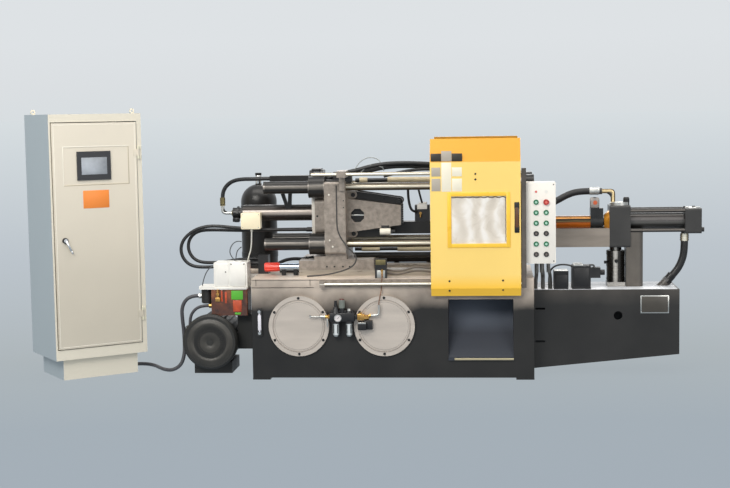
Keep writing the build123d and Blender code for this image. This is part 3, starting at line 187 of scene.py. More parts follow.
def enamel(name, colour, rough, mottle=0.06, patch=5.0, grain=260.0, relief=0.04, metallic=0.0, coat=0.0,
           stretch=(1, 1, 1), upper=None, sway=0.12, lower=None):
    """A finish with slow changes of colour and gloss, and a fine grain in its surface.

    upper is (colour, low, high): the colour changes to it between those two heights, on a line that
    wavers by sway. lower is the same for a colour that ends between its two heights.
    """
    material, net, shader = new_material(name)
    spot = net.add("TexCoord").outputs["Object"]
    height = net.add("SeparateXYZ", {0: spot}).outputs["Z"]
    spot = net.add("Mapping", {"Vector": spot, "Scale": stretch}).outputs[0]
    cloud = net.add("TexNoise", {"Vector": spot, "Scale": patch, "Detail": 6}).outputs["Fac"]

    def pair(shade):
        shade = tone(shade)[:3]
        dark = (*(v * (1 - mottle) for v in shade), 1)
        light = (*(min(1, v * (1 + mottle)) for v in shade), 1)
        return net.ramp(cloud, [(0.3, dark), (0.7, light)])

    surface = pair(colour)
    if lower:
        shade, start, end = lower
        surface = net.mix(net.spread(height, start, end), pair(shade), surface)
    if upper:
        shade, start, end = upper
        wavy = net.math("MULTIPLY_ADD", cloud, sway, height)
        surface = net.mix(net.spread(wavy, start + sway / 2, end + sway / 2), surface, pair(shade))
    gloss = net.spread(cloud, 0.3, 0.7, max(0.02, rough - 0.07), rough + 0.07)
    net.fill(shader, {"Base Color": surface, "Roughness": gloss, "Metallic": metallic, "Coat Weight": coat})
    if relief:
        fine = net.add("TexNoise", {"Vector": spot, "Scale": grain, "Detail": 3}).outputs["Fac"]
        bump = net.add("Bump", {"Strength": relief, "Distance": 0.004, "Height": fine})
        net.fill(shader, {"Normal": bump.outputs[0]})
    return material


def plain(name, colour, rough, **more):
    """A finish without grain."""
    return enamel(name, colour, rough, relief=0, **more)


def bar_painted_highlight(name, middle, flank, edge, rough=0.25, metallic=0.6, width=0.22):
    """A round bar's finish with painted light: a painted highlight along the side that faces the eye, and
    painted shade darker towards its edges.
    """
    material, net, shader = new_material(name)
    spot = net.add("Mapping", {"Vector": net.add("TexCoord").outputs["Object"], "Scale": (1.5, 14, 14)})
    smear = net.add("TexNoise", {"Vector": spot.outputs[0], "Scale": 4, "Detail": 4}).outputs["Fac"]
    around = net.add("LayerWeight", {"Blend": 0.5}).outputs["Facing"]
    around = net.math("MULTIPLY_ADD", smear, 0.04, around)
    surface = net.ramp(around, [(0.02, middle), (width, flank), (0.55, edge)])
    gloss = net.spread(smear, 0.3, 0.7, rough - 0.06, rough + 0.08)
    net.fill(shader, {"Base Color": surface, "Roughness": gloss, "Metallic": metallic})
    return material


def round_line(name, route, radius, order=3, sides=4):
    """A round line, closed at its ends, that follows the route's points on one smooth curve."""
    curve = bpy.data.curves.new(name, "CURVE")
    curve.dimensions = "3D"
    line = curve.splines.new("NURBS")
    line.points.add(len(route) - 1)
    for point, spot in zip(line.points, route):
        point.co = (*spot, 1)
    line.order_u = order
    line.use_endpoint_u = True
    line.resolution_u = 8
    curve.bevel_depth = radius
    curve.bevel_resolution = sides
    curve.use_fill_caps = True
    item = bpy.data.objects.new(name, curve)
    bpy.context.scene.collection.objects.link(item)
    return item


def hose(name, node, route, diameter, finish):
    """A free hose or cable in place of its plain tube; its route is in millimetres."""
    route = [tuple(v / 1000 for v in spot) for spot in route]
    item = round_line(name, route, diameter / 2, sides=5)
    item.data.materials.append(finish)
    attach(item, "machine")
    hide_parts(node)


# Hoses and cables: black rubber hydraulic hoses in steel ferrules, and two grey cables in a sheath.
# Each keeps its real length and lies or hangs on the route that the frame holds for it.
hose_rubber = enamel("hose rubber", (22, 22, 23), 0.46, mottle=0.15, patch=30, grain=420, relief=0.10)
cable_sheath = enamel("cable sheath", (70, 70, 74), 0.5, mottle=0.12, patch=25, grain=300, relief=0.10)

floor_cable_route = [(-1688.8, 55.2, 14), (-1628.6, 99.9, 14), (-1556, 94, 14), (-1499, 42, 14),
                     (-1454, -30, 14), (-1408, -98, 14), (-1350, -134, 15), (-1296, -134, 46),
                     (-1276, -122, 108), (-1276, -112, 180), (-1279, -110, 256), (-1285, -113, 328),
                     (-1287, -115, 390), (-1264, -117, 441), (-1219, -118, 468), (-1173, -118, 468)]
conduit_route = [(-1106, -143, 411), (-1160, -143, 411), (-1206.8, -141, 384), (-1233.8, -137, 337.2),
                 (-1233.8, -137, 286)]
clamp_hose_route = [(-1042, 0, 1029), (-1042, 0, 1072), (-1026, -3, 1111), (-995, -10, 1141),
                    (-955, -20, 1158), (-905, -34, 1164), (-850, -50, 1164.5), (-793, -60, 1166),
                    (-736, -60, 1166)]
outer_loop_route = [(-485, -58, 858), (-625, -58, 858), (-785, -56, 858), (-945, -51, 870), (-1095, -45, 886),
                    (-1185, -42, 872), (-1252.4, -40, 832.5), (-1292, -40, 783.5), (-1300, -40, 725.8),
                    (-1277.3, -40, 672.1), (-1230.2, -40, 637.9), (-1155.5, -40, 631.4),
                    (-1075.6, -41, 635.6), (-1001, -42, 646), (-910, -42, 655), (-821.5, -42, 655)]
inner_loop_route = [(-485, -30, 858), (-610, -30, 858), (-745, -28, 856), (-880, -22, 852), (-1000, -15, 854),
                    (-1095, -11, 857), (-1175, -9, 855), (-1226, -9, 833), (-1256, -9, 790), (-1260, -9, 738),
                    (-1237, -9, 690), (-1193, -9, 661), (-1120, -10, 655), (-1030, -12, 662),
                    (-925, -14, 679), (-821.5, -14, 679)]
shot_top_route = [(762.5, 46, 976), (834, 46, 976), (906, 46.5, 981), (971, 46, 1008), (1034, 46, 1044),
                  (1099, 46, 1064), (1165, 46, 1064)]
shot_low_route = [(1718, 0, 768), (1718, 0, 703), (1700.7, 0, 638.3), (1667.2, 0, 580.3), (1617.7, 0, 530.8)]
hose("floor_cable_sheath", "floor_cable", floor_cable_route, 0.022, cable_sheath)
hose("conduit_sheath", "conduit_cable", conduit_route, 0.018, cable_sheath)
hose("clamp_top_line", "clamp_top_hose", clamp_hose_route, 0.024, hose_rubber)
hose("outer_loop_line", "outer_loop_hose", outer_loop_route, 0.02, hose_rubber)
hose("inner_loop_line", "inner_loop_hose", inner_loop_route, 0.02, hose_rubber)
hose("shot_top_line", "shot_top_hose", shot_top_route, 0.04, hose_rubber)
hose("shot_low_line", "shot_low_hose", shot_low_route, 0.044, hose_rubber)

# The one mesh that is being built: rod, slab, ring and pipe add to it, and piece empties it.
form = bmesh.new()


def dress(finish, *names):
    """Give pieces of the frame their finish."""
    for name in names:
        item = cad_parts[name]
        if not item.material_slots:
            item.data.materials.append(finish)
        for entry in item.material_slots:
            entry.material = finish


def piece(name, finish, body="machine", crease=35):
    """Make an object of what form holds, empty form, and set the object riding on its body."""
    bmesh.ops.recalc_face_normals(form, faces=form.faces)
    mesh = bpy.data.meshes.new(name)
    form.to_mesh(mesh)
    form.clear()
    mesh.materials.append(finish)
    mesh.shade_smooth()
    mesh.set_sharp_from_angle(angle=math.radians(crease))
    item = bpy.data.objects.new(name, mesh)
    bpy.context.scene.collection.objects.link(item)
    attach(item, body)
    return item


def rod(start, end, radius, tip=None, sides=36):
    """A round bar or a cone between two points, closed at both ends."""
    start, end = Vector(start), Vector(end)
    turn = (end - start).to_track_quat("Z", "Y").to_matrix().to_4x4()
    bmesh.ops.create_cone(
        form, cap_ends=True, segments=sides, radius1=radius, radius2=radius if tip is None else tip,
        depth=(end - start).length, matrix=Matrix.Translation((start + end) / 2) @ turn,
    )


def slab(low, high, bevel=0.0, turn=None):
    """A block between two corners, with its edges rounded by bevel, then moved by turn."""
    low, high = Vector(low), Vector(high)
    size = Matrix.Diagonal((*(high - low), 1))
    made = bmesh.ops.create_cube(form, size=1, matrix=Matrix.Translation((low + high) / 2) @ size)
    verts = made["verts"]
    if bevel:
        edges = list({edge for vert in verts for edge in vert.link_edges})
        made = bmesh.ops.bevel(form, geom=edges, offset=bevel, segments=2, affect="EDGES", profile=0.5)
        verts = made["verts"]
    if turn:
        bmesh.ops.transform(form, matrix=turn, verts=list(set(verts)))


def band(near, far):
    """Faces between two loops of as many points."""
    for n, spot in enumerate(near):
        after = (n + 1) % len(near)
        form.faces.new((spot, near[after], far[after], far[n]))


def ring(start, end, outer, inner, sides=48):
    """A flat or long ring between two points on its axis."""
    start, end = Vector(start), Vector(end)
    turn = (end - start).to_track_quat("Z", "Y").to_matrix()
    angles = [math.tau * n / sides for n in range(sides)]
    spokes = [turn @ Vector((math.cos(a), math.sin(a), 0)) for a in angles]
    loops = [
        [form.verts.new(centre + radius * spoke) for spoke in spokes]
        for centre, radius in ((start, inner), (start, outer), (end, outer), (end, inner))
    ]
    for near, far in zip(loops, loops[1:] + loops[:1]):
        band(near, far)


def plain_mesh(item):
    """The mesh that a curve or a modifier makes of an object."""
    bpy.context.view_layer.update()
    return bpy.data.meshes.new_from_object(item.evaluated_get(bpy.context.evaluated_depsgraph_get()))


def pipe(route, radius, order=3, sides=4):
    """A closed round pipe along a smooth line through the route's points."""
    item = round_line("pipe line", route, radius, order, sides)
    mesh = plain_mesh(item)
    form.from_mesh(mesh)
    curve = item.data
    bpy.data.objects.remove(item)
    bpy.data.curves.remove(curve)
    bpy.data.meshes.remove(mesh)


def bolt_tree():
    """Round or six-sided bolt heads on every point of a mesh, facing one way."""
    tree = bpy.data.node_groups.new("bolt heads", "GeometryNodeTree")
    for label, kind in (("Places", "Geometry"), ("Sides", "Int"), ("Head radius", "Float"),
                        ("Top radius", "Float"), ("Head height", "Float"), ("Facing", "Vector"),
                        ("Finish", "Material")):
        tree.interface.new_socket(label, in_out="INPUT", socket_type="NodeSocket" + kind)
    tree.interface.new_socket("Heads", in_out="OUTPUT", socket_type="NodeSocketGeometry")
    net = Net(tree)
    given = net.add("NodeGroupInput").outputs
    head = net.add("GeometryNodeMeshCone", {
        "Vertices": given["Sides"], "Radius Bottom": given["Head radius"], "Radius Top": given["Top radius"],
        "Depth": given["Head height"],
    })
    aim = net.add("FunctionNodeAlignRotationToVector", {"Vector": given["Facing"]})
    copies = net.add("GeometryNodeInstanceOnPoints", {
        "Points": given["Places"], "Instance": head.outputs["Mesh"], "Rotation": aim.outputs["Rotation"],
    })
    real = net.add("GeometryNodeRealizeInstances", {0: copies.outputs[0]})
    coat = net.add("GeometryNodeSetMaterial", {"Geometry": real.outputs[0], "Material": given["Finish"]})
    net.add("NodeGroupOutput", {0: coat.outputs[0]})
    return tree


bolt_heads = bolt_tree()


def bolts(name, places, radius, height, finish, body="machine", sides=20, top=0.8):
    """A set of like bolts or screws that face the front, made by the bolt tree and kept as one plain mesh."""
    mesh = bpy.data.meshes.new(name)
    mesh.from_pydata([tuple(p) for p in places], [], [])
    item = bpy.data.objects.new(name, mesh)
    bpy.context.scene.collection.objects.link(item)
    modifier = item.modifiers.new("bolts", "NODES")
    modifier.node_group = bolt_heads
    values = {"Sides": sides, "Head radius": radius, "Top radius": radius * top, "Head height": height,
              "Facing": (0, -1, 0), "Finish": finish}
    for socket in bolt_heads.interface.items_tree:
        if socket.in_out == "INPUT" and socket.name in values:
            modifier[socket.identifier] = values[socket.name]
    made = plain_mesh(item)
    item.modifiers.clear()
    item.data = made
    made.name = name
    bpy.data.meshes.remove(mesh)
    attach(item, body)


def grid(xs, y, zs):
    """Places in one upright plane, at every x with every z."""
    return [(x, y, z) for x in xs for z in zs]


# Bed: a heavy welded box under charcoal enamel, on four foot pads; its colour turns much lighter and warmer
# near its top, a painted reflection of the lamps on the gloss. The tapered extension at its right is the
# same, with a fainter painted reflection; two ground way plates lie on top.
bed_enamel_painted_sheen = enamel("charcoal enamel", (26, 25, 24), 0.46, mottle=0.24, patch=4.2, grain=160, relief=0.05,
                    upper=((208, 194, 180), 0.4, 0.585))
extension_enamel_painted_sheen = enamel("charcoal enamel, extension", (37, 36, 35), 0.4, mottle=0.24, patch=3.6, grain=160,
                          relief=0.05, upper=((70, 66, 62), 0.4, 0.52))
way_steel = enamel("ground way steel", (176, 166, 152), 0.32, mottle=0.16, patch=9, grain=60, relief=0.05,
                   metallic=0.7, stretch=(1, 8, 8))
dress(bed_enamel_painted_sheen, "bed_body", "accumulator_shelf")
dress(extension_enamel_painted_sheen, "bed_extension")
dress(way_steel, "way_plates")
bright = plain("bright steel", (226, 226, 226), 0.16, mottle=0.05, patch=20, metallic=1.0)
zinc = enamel("zinc plate", (196, 196, 192), 0.32, mottle=0.08, patch=30, grain=200, relief=0.04,
              metallic=0.9)
black_oxide = plain("black oxide", (34, 34, 35), 0.38, mottle=0.15, patch=30, metallic=0.3)
bed_low, bed_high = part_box("bed_body")
seam_z, edge_z = 0.5435, 0.5865
slab((bed_low.x + 0.002, bed_low.y - 0.0006, seam_z), (-0.452, bed_low.y + 0.001, seam_z + 0.0022))
slab((bed_low.x + 0.002, bed_low.y - 0.0006, edge_z), (0.226, bed_low.y + 0.001, edge_z + 0.002))
for x in (-0.792, -0.474):
    slab((x, bed_low.y - 0.0006, 0.554), (x + 0.002, bed_low.y + 0.001, 0.5905))
piece("bed_weld_seams", plain("seam shadow", (70, 62, 56), 0.6, mottle=0.3, patch=30))
deck_low, deck_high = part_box("bed_extension")
deck_top = 0.501
# The deck plate's pale bluish white is a painted reflection of the sky on its bright steel.
slab((bed_high.x + 0.002, deck_low.y + 0.004, deck_top),
     (deck_high.x - 0.012, deck_high.y - 0.004, deck_top + 0.003), 0.001)
piece("extension_top_plate",
      enamel("deck plate, painted sky reflection", (214, 218, 224), 0.3, mottle=0.12, patch=8, relief=0.02))
plate_x, plate_z = (1.443, 1.607), (0.361, 0.466)
slab((plate_x[0], deck_low.y - 0.002, plate_z[0]), (plate_x[1], deck_low.y, plate_z[1]), 0.0006)
piece("bare_nameplate", zinc)
rim = 0.006
slab((plate_x[0] + rim, deck_low.y - 0.0028, plate_z[0] + rim),
     (plate_x[1] - rim, deck_low.y - 0.0012, plate_z[1] - rim), 0.0004)
piece("bare_nameplate_panel", plain("bare dark panel", (70, 66, 60), 0.4, mottle=0.1, patch=20))
bolts("nameplate_rivets", grid((plate_x[0] + rim, plate_x[1] - rim), deck_low.y - 0.002,
                               (plate_z[0] + rim, plate_z[1] - rim)), 0.003, 0.002, bright)
for x in (bed_low.x + 0.052, bed_high.x - 0.052):
    for y in (bed_low.y + 0.06, bed_high.y - 0.06):
        rod((x, y, 0.0005), (x, y, 0.011), 0.018, 0.016, 24)
piece("foot_stud_washers", zinc)

# Access covers: turned aluminium discs, each held by six socket screws near its edge.
# The finish has fine turning marks and a soft handling stain.
cover_metal = enamel("turned aluminium", (201, 191, 181), 0.42, mottle=0.06, patch=4, grain=40, relief=0.05,
                     metallic=0.35, stretch=(1, 30, 6))
dress(cover_metal, "access_covers")
cover_low, cover_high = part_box("access_covers")
cover_radius = (cover_high.z - cover_low.z) / 2
cover_z = (cover_high.z + cover_low.z) / 2
screw_circle = 0.164
cover_xs = (cover_low.x + cover_radius, cover_high.x - cover_radius)
spots = [(x + screw_circle * math.cos(a), cover_low.y + 0.0005, cover_z + screw_circle * math.sin(a))
         for x in cover_xs for a in (math.radians(90 + 60 * n) for n in range(6))]
bolts("cover_screws", spots, 0.0085, 0.004, black_oxide)
# Two thin dark rings on each cover are painted shade inside its turned grooves.
for x in cover_xs:
    for radius, wide in ((0.152, 0.0016), (0.139, 0.0012)):
        ring((x, cover_low.y - 0.0004, cover_z), (x, cover_low.y + 0.001, cover_z), radius + wide, radius, 96)
piece("cover_groove_shade_lines", plain("painted groove shade", (120, 112, 106), 0.5, metallic=0.4))

# Oil level gauge: a dark body with a clear sight tube between two bright banjo bolts.
gauge_body = enamel("gauge moulding", (40, 40, 40), 0.45, mottle=0.1, patch=30, relief=0.05)
dress(gauge_body, "oil_gauge")
low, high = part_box("oil_gauge")
gauge_x = (low.x + high.x) / 2
rod((gauge_x, low.y + 0.003, low.z + 0.02), (gauge_x, low.y + 0.003, high.z - 0.02), 0.0052, sides=24)
slab((gauge_x - 0.0095, low.y - 0.003, 0.294), (gauge_x + 0.0095, low.y + 0.002, 0.384), 0.002)
piece("sight_tube", plain("sight tube", (232, 230, 238), 0.15, mottle=0.04, coat=1.0))
bolts("gauge_bolts", [(gauge_x, low.y, z) for z in (low.z + 0.0175, high.z - 0.0175)], 0.01, 0.006, bright,
      sides=24, top=0.85)

# Casting chute: a sloping plate of blue-grey sheet in its pocket, lighter and bluer towards its top in a
# painted reflection, with a bright strip of painted light on its lip.
chute_sheet_painted_sheen = enamel("blue-grey sheet", (43, 48, 58), 0.62, mottle=0.1, patch=4, grain=120, relief=0.05,
                     upper=((112, 122, 138), 0.26, 0.48), sway=0.0)
dress(chute_sheet_painted_sheen, "chute")
chute_low, chute_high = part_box("chute")
# The pale strip on the lip is painted light.
slab((chute_low.x + 0.035, chute_low.y - 0.0008, chute_low.z + 0.002),
     (chute_high.x, chute_low.y + 0.002, chute_low.z + 0.0135), 0.0006)
piece("chute_lip_strip", plain("lit lip, painted light", (196, 184, 150), 0.35, mottle=0.1, metallic=0.5))

# Platens: heavy castings in hammered warm grey enamel, with plug caps and a cable groove in the rear one.
# The fixed and moving platens are the same casting without the toggle lugs.
hammered = enamel("hammered grey enamel", (150, 140, 130), 0.42, mottle=0.24, patch=40, grain=95, relief=0.25,
                  metallic=0.2)
dress(hammered, "rear_platen", "rear_platen_base", "moving_platen", "fixed_platen", "clamp_cheeks",
      "rail_supports")
dress(enamel("shaded grey enamel", (88, 82, 77), 0.5, mottle=0.2, patch=20, grain=95, relief=0.15,
             upper=((58, 55, 52), 1.0, 1.3)), "guard_post")
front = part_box("rear_platen")[0].y
plugs = [(-0.3665, 1.0755), (-0.3665, 0.8075), (-0.349, 0.77)]
bolts("platen_plugs", [(x, front + 0.0005, z) for x, z in plugs], 0.0055, 0.003,
      plain("plug cap", (235, 230, 220), 0.3))
bolts("platen_screw_holes", [(-0.282, front + 0.0005, z) for z in (1.0, 1.04)], 0.004, 0.001, black_oxide)
groove = [(-0.322, front + 0.002, z) for z in (1.13, 1.04, 0.96, 0.9)]
groove += [(-0.318, front + 0.002, 0.865), (-0.303, front + 0.002, 0.825), (-0.278, front + 0.002, 0.79)]
groove += [(-0.262, -0.25, 0.768), (-0.229, -0.256, 0.74), (-0.205, -0.262, 0.706), (-0.219, -0.266, 0.665)]
groove += [(-0.272, -0.27, 0.634), (-0.397, -0.275, 0.604), (-0.5, -0.27, 0.6)]
pipe(groove, 0.0045)
piece("platen_lead", plain("thin lead", (60, 58, 56), 0.5))
rod((-0.4475, front + 0.088, 0.944), (-0.4475, front + 0.0895, 0.944), 0.006, sides=20)
piece("lobe_plug", black_oxide)
shoe_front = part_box("rear_platen_base")[0].y
spots = [(x, shoe_front + 0.0005, 0.648) for x in (-0.39, -0.345, -0.295, -0.255)]
bolts("shoe_screws", spots, 0.0055, 0.002, black_oxide)

# Clamp cylinder: a dark tube with a bright barrel line that is a painted highlight, a pale square flange, a
# bent steel pipe at its closed end and an oil manifold above it on two struts.
dark_enamel = enamel("satin dark enamel", (34, 33, 32), 0.34, mottle=0.14, patch=12, grain=200, relief=0.04,
                     metallic=0.25)
# The bar finishes below paint a highlight along each bar and paint shade towards its edges.
nut_steel = bar_painted_highlight("dark nut, painted highlight", (128, 122, 114), (40, 38, 36), (22, 21, 20), 0.34, 0.3, 0.075)
chrome_bar = bar_painted_highlight("chromed bar", (248, 240, 220), (98, 87, 68), (24, 21, 17), 0.22, 0.35, 0.11)
jack_finish = bar_painted_highlight("jack enamel", (210, 206, 200), (38, 36, 34), (20, 19, 18), 0.24, 0.3, 0.07)
dress(dark_enamel, "clamp_cylinder", "crosshead", "pump", "toggle_links")
dress(nut_steel, "tie_bar_nuts")
dress(jack_finish, "shot_jack")
dress(chrome_bar, "tie_bars", "clamp_rod")
olive = plain("olive chromate", (122, 112, 78), 0.35, mottle=0.15, patch=40, metallic=0.7)
cylinder_axis = 0.957
barrel_radius = 0.0475
ring((-0.912, 0, cylinder_axis), (-0.487, 0, cylinder_axis), barrel_radius + 0.0012, barrel_radius - 0.002,
     72)
piece("clamp_barrel", bar_painted_highlight("honed barrel", (186, 175, 166), (60, 54, 50), (24, 22, 20), 0.28, 0.3, 0.1))
slab((-0.4852, -0.107, 0.837), (-0.4615, 0.107, 1.051), 0.002)
piece("clamp_flange_face", enamel("pale machined flange", (222, 216, 206), 0.4, mottle=0.06, patch=20,
                                  relief=0.03))
elbow_x = -1.042
pipe([(-0.978, 0, cylinder_axis), (-1.01, 0, cylinder_axis), (-1.032, 0, 0.958), (elbow_x, 0, 0.968),
      (elbow_x, 0, 0.985), (elbow_x, 0, 1.008)], 0.0098, sides=6)
piece("clamp_elbow_pipe", zinc)
rod((-0.986, 0, cylinder_axis), (-0.966, 0, cylinder_axis), 0.017, sides=6)
rod((elbow_x, 0, 1.002), (elbow_x, 0, 1.014), 0.0165, sides=6)
ring((elbow_x, 0, 1.012), (elbow_x, 0, 1.052), 0.0155, 0.01, 24)
for z in (1.02, 1.03, 1.04):
    ring((elbow_x, 0, z), (elbow_x, 0, z + 0.005), 0.0165, 0.013, 24)
piece("clamp_hose_ferrule", olive)
for x in (-0.952, -0.925):
    ring((x, 0, cylinder_axis), (x + 0.012, 0, cylinder_axis), 0.041, 0.03, 8)
slab((-0.962, -0.06, 0.905), (-0.934, -0.02, 0.932), 0.004)
rod((-0.974, -0.04, 0.918), (-0.958, -0.04, 0.918), 0.012, sides=6)
piece("clamp_cap_collar", black_oxide)
slab((-0.502, -0.06, 1.13), (-0.418, 0.06, 1.214), 0.006)
slab((-0.488, -0.062, 1.204), (-0.432, 0.05, 1.222), 0.003)
piece("upper_clamp_block", black_oxide)
for x, y, z in ((-0.485, -0.058, 0.858), (-0.485, -0.03, 0.858), (-0.8215, -0.042, 0.655),
                (-0.8215, -0.014, 0.679)):
    ring((x - 0.001, y, z), (x - 0.04, y, z), 0.0128, 0.01, 24)
    ring((x - 0.001, y, z), (x - 0.012, y, z), 0.0138, 0.01, 6)
piece("loop_hose_ferrules", black_oxide)

# Tie bars: ground and chromed, with dark round nuts and long closed tail tubes at the clamp end.
bar_ys, bar_zs = (-0.168, 0.168), (0.7815, 1.1175)
for y in bar_ys:
    for z in bar_zs:
        for x in (-0.492, -0.402, 0.766, 0.82):
            ring((x, y, z), (x + 0.006, y, z), 0.0637, 0.055, 60)
        ring((-0.761, y, z), (-0.75, y, z), 0.0378, 0.03)
# The bright ring on each nut's edge is a painted highlight.
piece("tie_nut_collars",
      bar_painted_highlight("nut edge, painted highlight", (160, 152, 144), (60, 57, 54), (28, 27, 26), 0.3, 0.35, 0.1))

# Toggle clamp: dark forged links on pins between lugs, pale side cheeks with an eight-sided hole, and
# the crosshead on the clamp rod, with its grease fittings and lubricating block.
for x, z in ((-0.237, 1.0655), (-0.237, 0.8335), (0.035, 1.0235), (-0.061, 0.8335)):
    for y in (-0.0985, 0.0985):
        rod((x, y, z), (x, y + math.copysign(0.003, y), z), 0.013, 0.012, 28)
piece("toggle_pin_caps", black_oxide)
ejector = (-0.132, 0.848)
# The rod's near-white colour is a painted highlight on its polished steel.
rod((-0.077, *ejector), (-0.014, *ejector), 0.02)
piece("ejector_cylinder", plain("polished rod, painted highlight", (240, 234, 218), 0.35, mottle=0.05))
rod((-0.014, *ejector), (0.012, *ejector), 0.013, sides=24)
slab((-0.07, -0.13, 0.862), (-0.022, -0.118, 0.884), 0.002)
# The black eight-sided disc fills the cheek's hole with painted shade.
rod((-0.2105, -0.098, 0.944), (-0.2105, -0.09, 0.944), 0.046, sides=8)
piece("cheek_fittings_and_hole_shade", black_oxide)
# This thin zinc strip across the hole is a painted highlight of the clamp rod behind it.
slab((-0.249, -0.1035, 0.941), (-0.172, -0.097, 0.948), 0.001)
piece("cheek_hole_rod_highlight", zinc)
for n in range(9):
    z = 0.892 + 0.0135 * n
    slab((0.049, -0.128, z), (0.062, -0.1, z + 0.0095), 0.002)
slab((0.047, -0.124, 0.888), (0.054, -0.104, 1.014), 0.001)
piece("grease_manifold", black_oxide)

# Valves on the thrust bar and on the bed's front edge: black bodies, a white connector and a brass nipple.
valve_black = enamel("valve black", (30, 30, 31), 0.42, mottle=0.2, patch=25, grain=160, relief=0.05)
dress(valve_black, "valve_blocks")
white_plastic = enamel("white moulding", (238, 236, 230), 0.38, mottle=0.04, patch=20, relief=0.03)
brass = plain("brass", (206, 160, 92), 0.25, mottle=0.12, patch=30, metallic=0.9)
slab((0.14, -0.04, 0.972), (0.2, -0.036, 1.004), 0.002)
slab((0.15, -0.03, 0.997), (0.196, 0.02, 1.012), 0.003)
piece("slide_valve_connector", white_plastic)
rod((0.16, -0.046, 0.948), (0.16, -0.034, 0.948), 0.008, sides=20)
rod((0.16, -0.042, 0.925), (0.16, -0.042, 0.95), 0.006, sides=20)
rod((-0.053, -0.35, 0.64), (-0.053, -0.338, 0.64), 0.007, sides=20)
rod((-0.053, -0.3455, 0.6), (-0.053, -0.3455, 0.636), 0.005, sides=20)
piece("valve_nipples", brass)
slab((-0.083, -0.3425, 0.596), (-0.036, -0.339, 0.64), 0.001)
piece("pilot_valve_foot", zinc)
slab((-0.09, -0.342, 0.672), (-0.032, -0.339, 0.702), 0.001)
piece("pilot_valve_plate", olive)
pipe([(0.088, -0.06, 1.11), (0.088, -0.06, 1.06), (0.094, -0.06, 1.01), (0.104, -0.06, 0.975),
      (0.122, -0.06, 0.96), (0.136, -0.04, 0.958)], 0.0075)
pipe([(0.146, -0.04, 1.11), (0.156, -0.04, 1.06), (0.17, -0.03, 1.01)], 0.006)
piece("slide_valve_leads", hose_rubber)

# Lines along the machine: rubber lines bundled over the clamp, rigid pipes with pale sleeves, and the
# wavy leads that lie on the bed behind the lower rail.
pipe([(-0.39, -0.1, 1.165), (-0.3, -0.11, 1.195), (-0.21, -0.115, 1.212), (-0.11, -0.118, 1.24),
      (0.0, -0.118, 1.252), (0.15, -0.116, 1.25), (0.33, -0.11, 1.235), (0.56, -0.1, 1.165)], 0.013)
pipe([(-0.39, -0.07, 1.16), (-0.28, -0.08, 1.18), (-0.15, -0.09, 1.205), (-0.02, -0.095, 1.232),
      (0.13, -0.095, 1.232), (0.33, -0.09, 1.22), (0.58, -0.08, 1.16)], 0.012)
pipe([(-0.05, -0.13, 1.175), (0.06, -0.135, 1.204), (0.2, -0.13, 1.218), (0.4, -0.12, 1.2),
      (0.6, -0.11, 1.155)], 0.009)
piece("overhead_lines", hose_rubber)
pipe([(-0.235, -0.12, 1.196), (-0.205, -0.12, 1.25), (-0.16, -0.12, 1.285), (-0.105, -0.12, 1.288),
      (-0.065, -0.12, 1.262), (-0.05, -0.12, 1.206)], 0.0025)
pipe([(-0.186, -0.125, 1.2), (-0.15, -0.125, 1.236), (-0.105, -0.125, 1.247), (-0.06, -0.125, 1.228)], 0.0025)
piece("overhead_thin_wires", plain("grey wire", (150, 154, 152), 0.4))
for x, high_x in ((-0.472, -0.402), (-0.352, -0.276), (-0.3, -0.24)):
    slab((x, -0.15, 1.146), (high_x, -0.09, 1.205 if x < -0.31 else 1.196), 0.006)
slab((-0.462, -0.16, 1.14), (-0.24, -0.08, 1.16), 0.003)
piece("rear_platen_valves", valve_black)
upper_pipe, middle_pipe, lower_pipe = (0.1, 1.142), (0.0, 0.732), (-0.04, 0.7)
for place, radius in ((upper_pipe, 0.013), (middle_pipe, 0.01), (lower_pipe, 0.016)):
    rod((-0.24, *place), (0.56, *place), radius, sides=28)
# The dark tray on three feet behind the pipes fills the gaps behind the lower tie bars with painted shade.
slab((-0.3, 0.235, 0.626), (0.215, 0.275, 0.686), 0.004)
for x in (-0.24, -0.02, 0.18):
    slab((x, 0.24, 0.574), (x + 0.03, 0.27, 0.63), 0.002)
piece("rigid_oil_pipes_and_shade_tray", dark_enamel)
sleeves = [(upper_pipe, -0.214, -0.166, 0.0175), (upper_pipe, -0.043, -0.026, 0.0195),
           (upper_pipe, -0.026, 0.215, 0.0175), (middle_pipe, 0.018, 0.215, 0.0145),
           (middle_pipe, -0.198, -0.089, 0.013)]
for place, left, right, radius in sleeves:
    rod((left, *place), (right, *place), radius, sides=28)
piece("pale_pipe_sleeves", enamel("pale sleeve", (196, 182, 150), 0.4, mottle=0.1, patch=20, relief=0.02))
for y, z, drop in ((-0.3, 0.64, 0.0), (-0.285, 0.618, 0.004)):
    pipe([(-0.036, y, z), (-0.005, y, z - 0.004), (0.03, y, z - 0.01), (0.08, y, z - 0.004 + drop),
          (0.13, y, z + 0.014), (0.2, y, z + 0.01), (0.3, y, z - 0.004), (0.46, y, z + 0.004)], 0.0055)
piece("bed_leads", plain("brown lead", (96, 88, 78), 0.45))
rod((-0.57, -0.06, 0.62), (-0.52, -0.06, 0.69), 0.012, sides=20)
slab((-0.7, -0.02, 0.593), (-0.56, 0.08, 0.612), 0.004)
piece("bed_top_fittings", valve_black)
pipe([(-0.72, -0.03, 0.64), (-0.68, -0.035, 0.668), (-0.61, -0.04, 0.682), (-0.54, -0.04, 0.676),
      (-0.485, -0.04, 0.69)], 0.01)
piece("bed_top_line", hose_rubber)

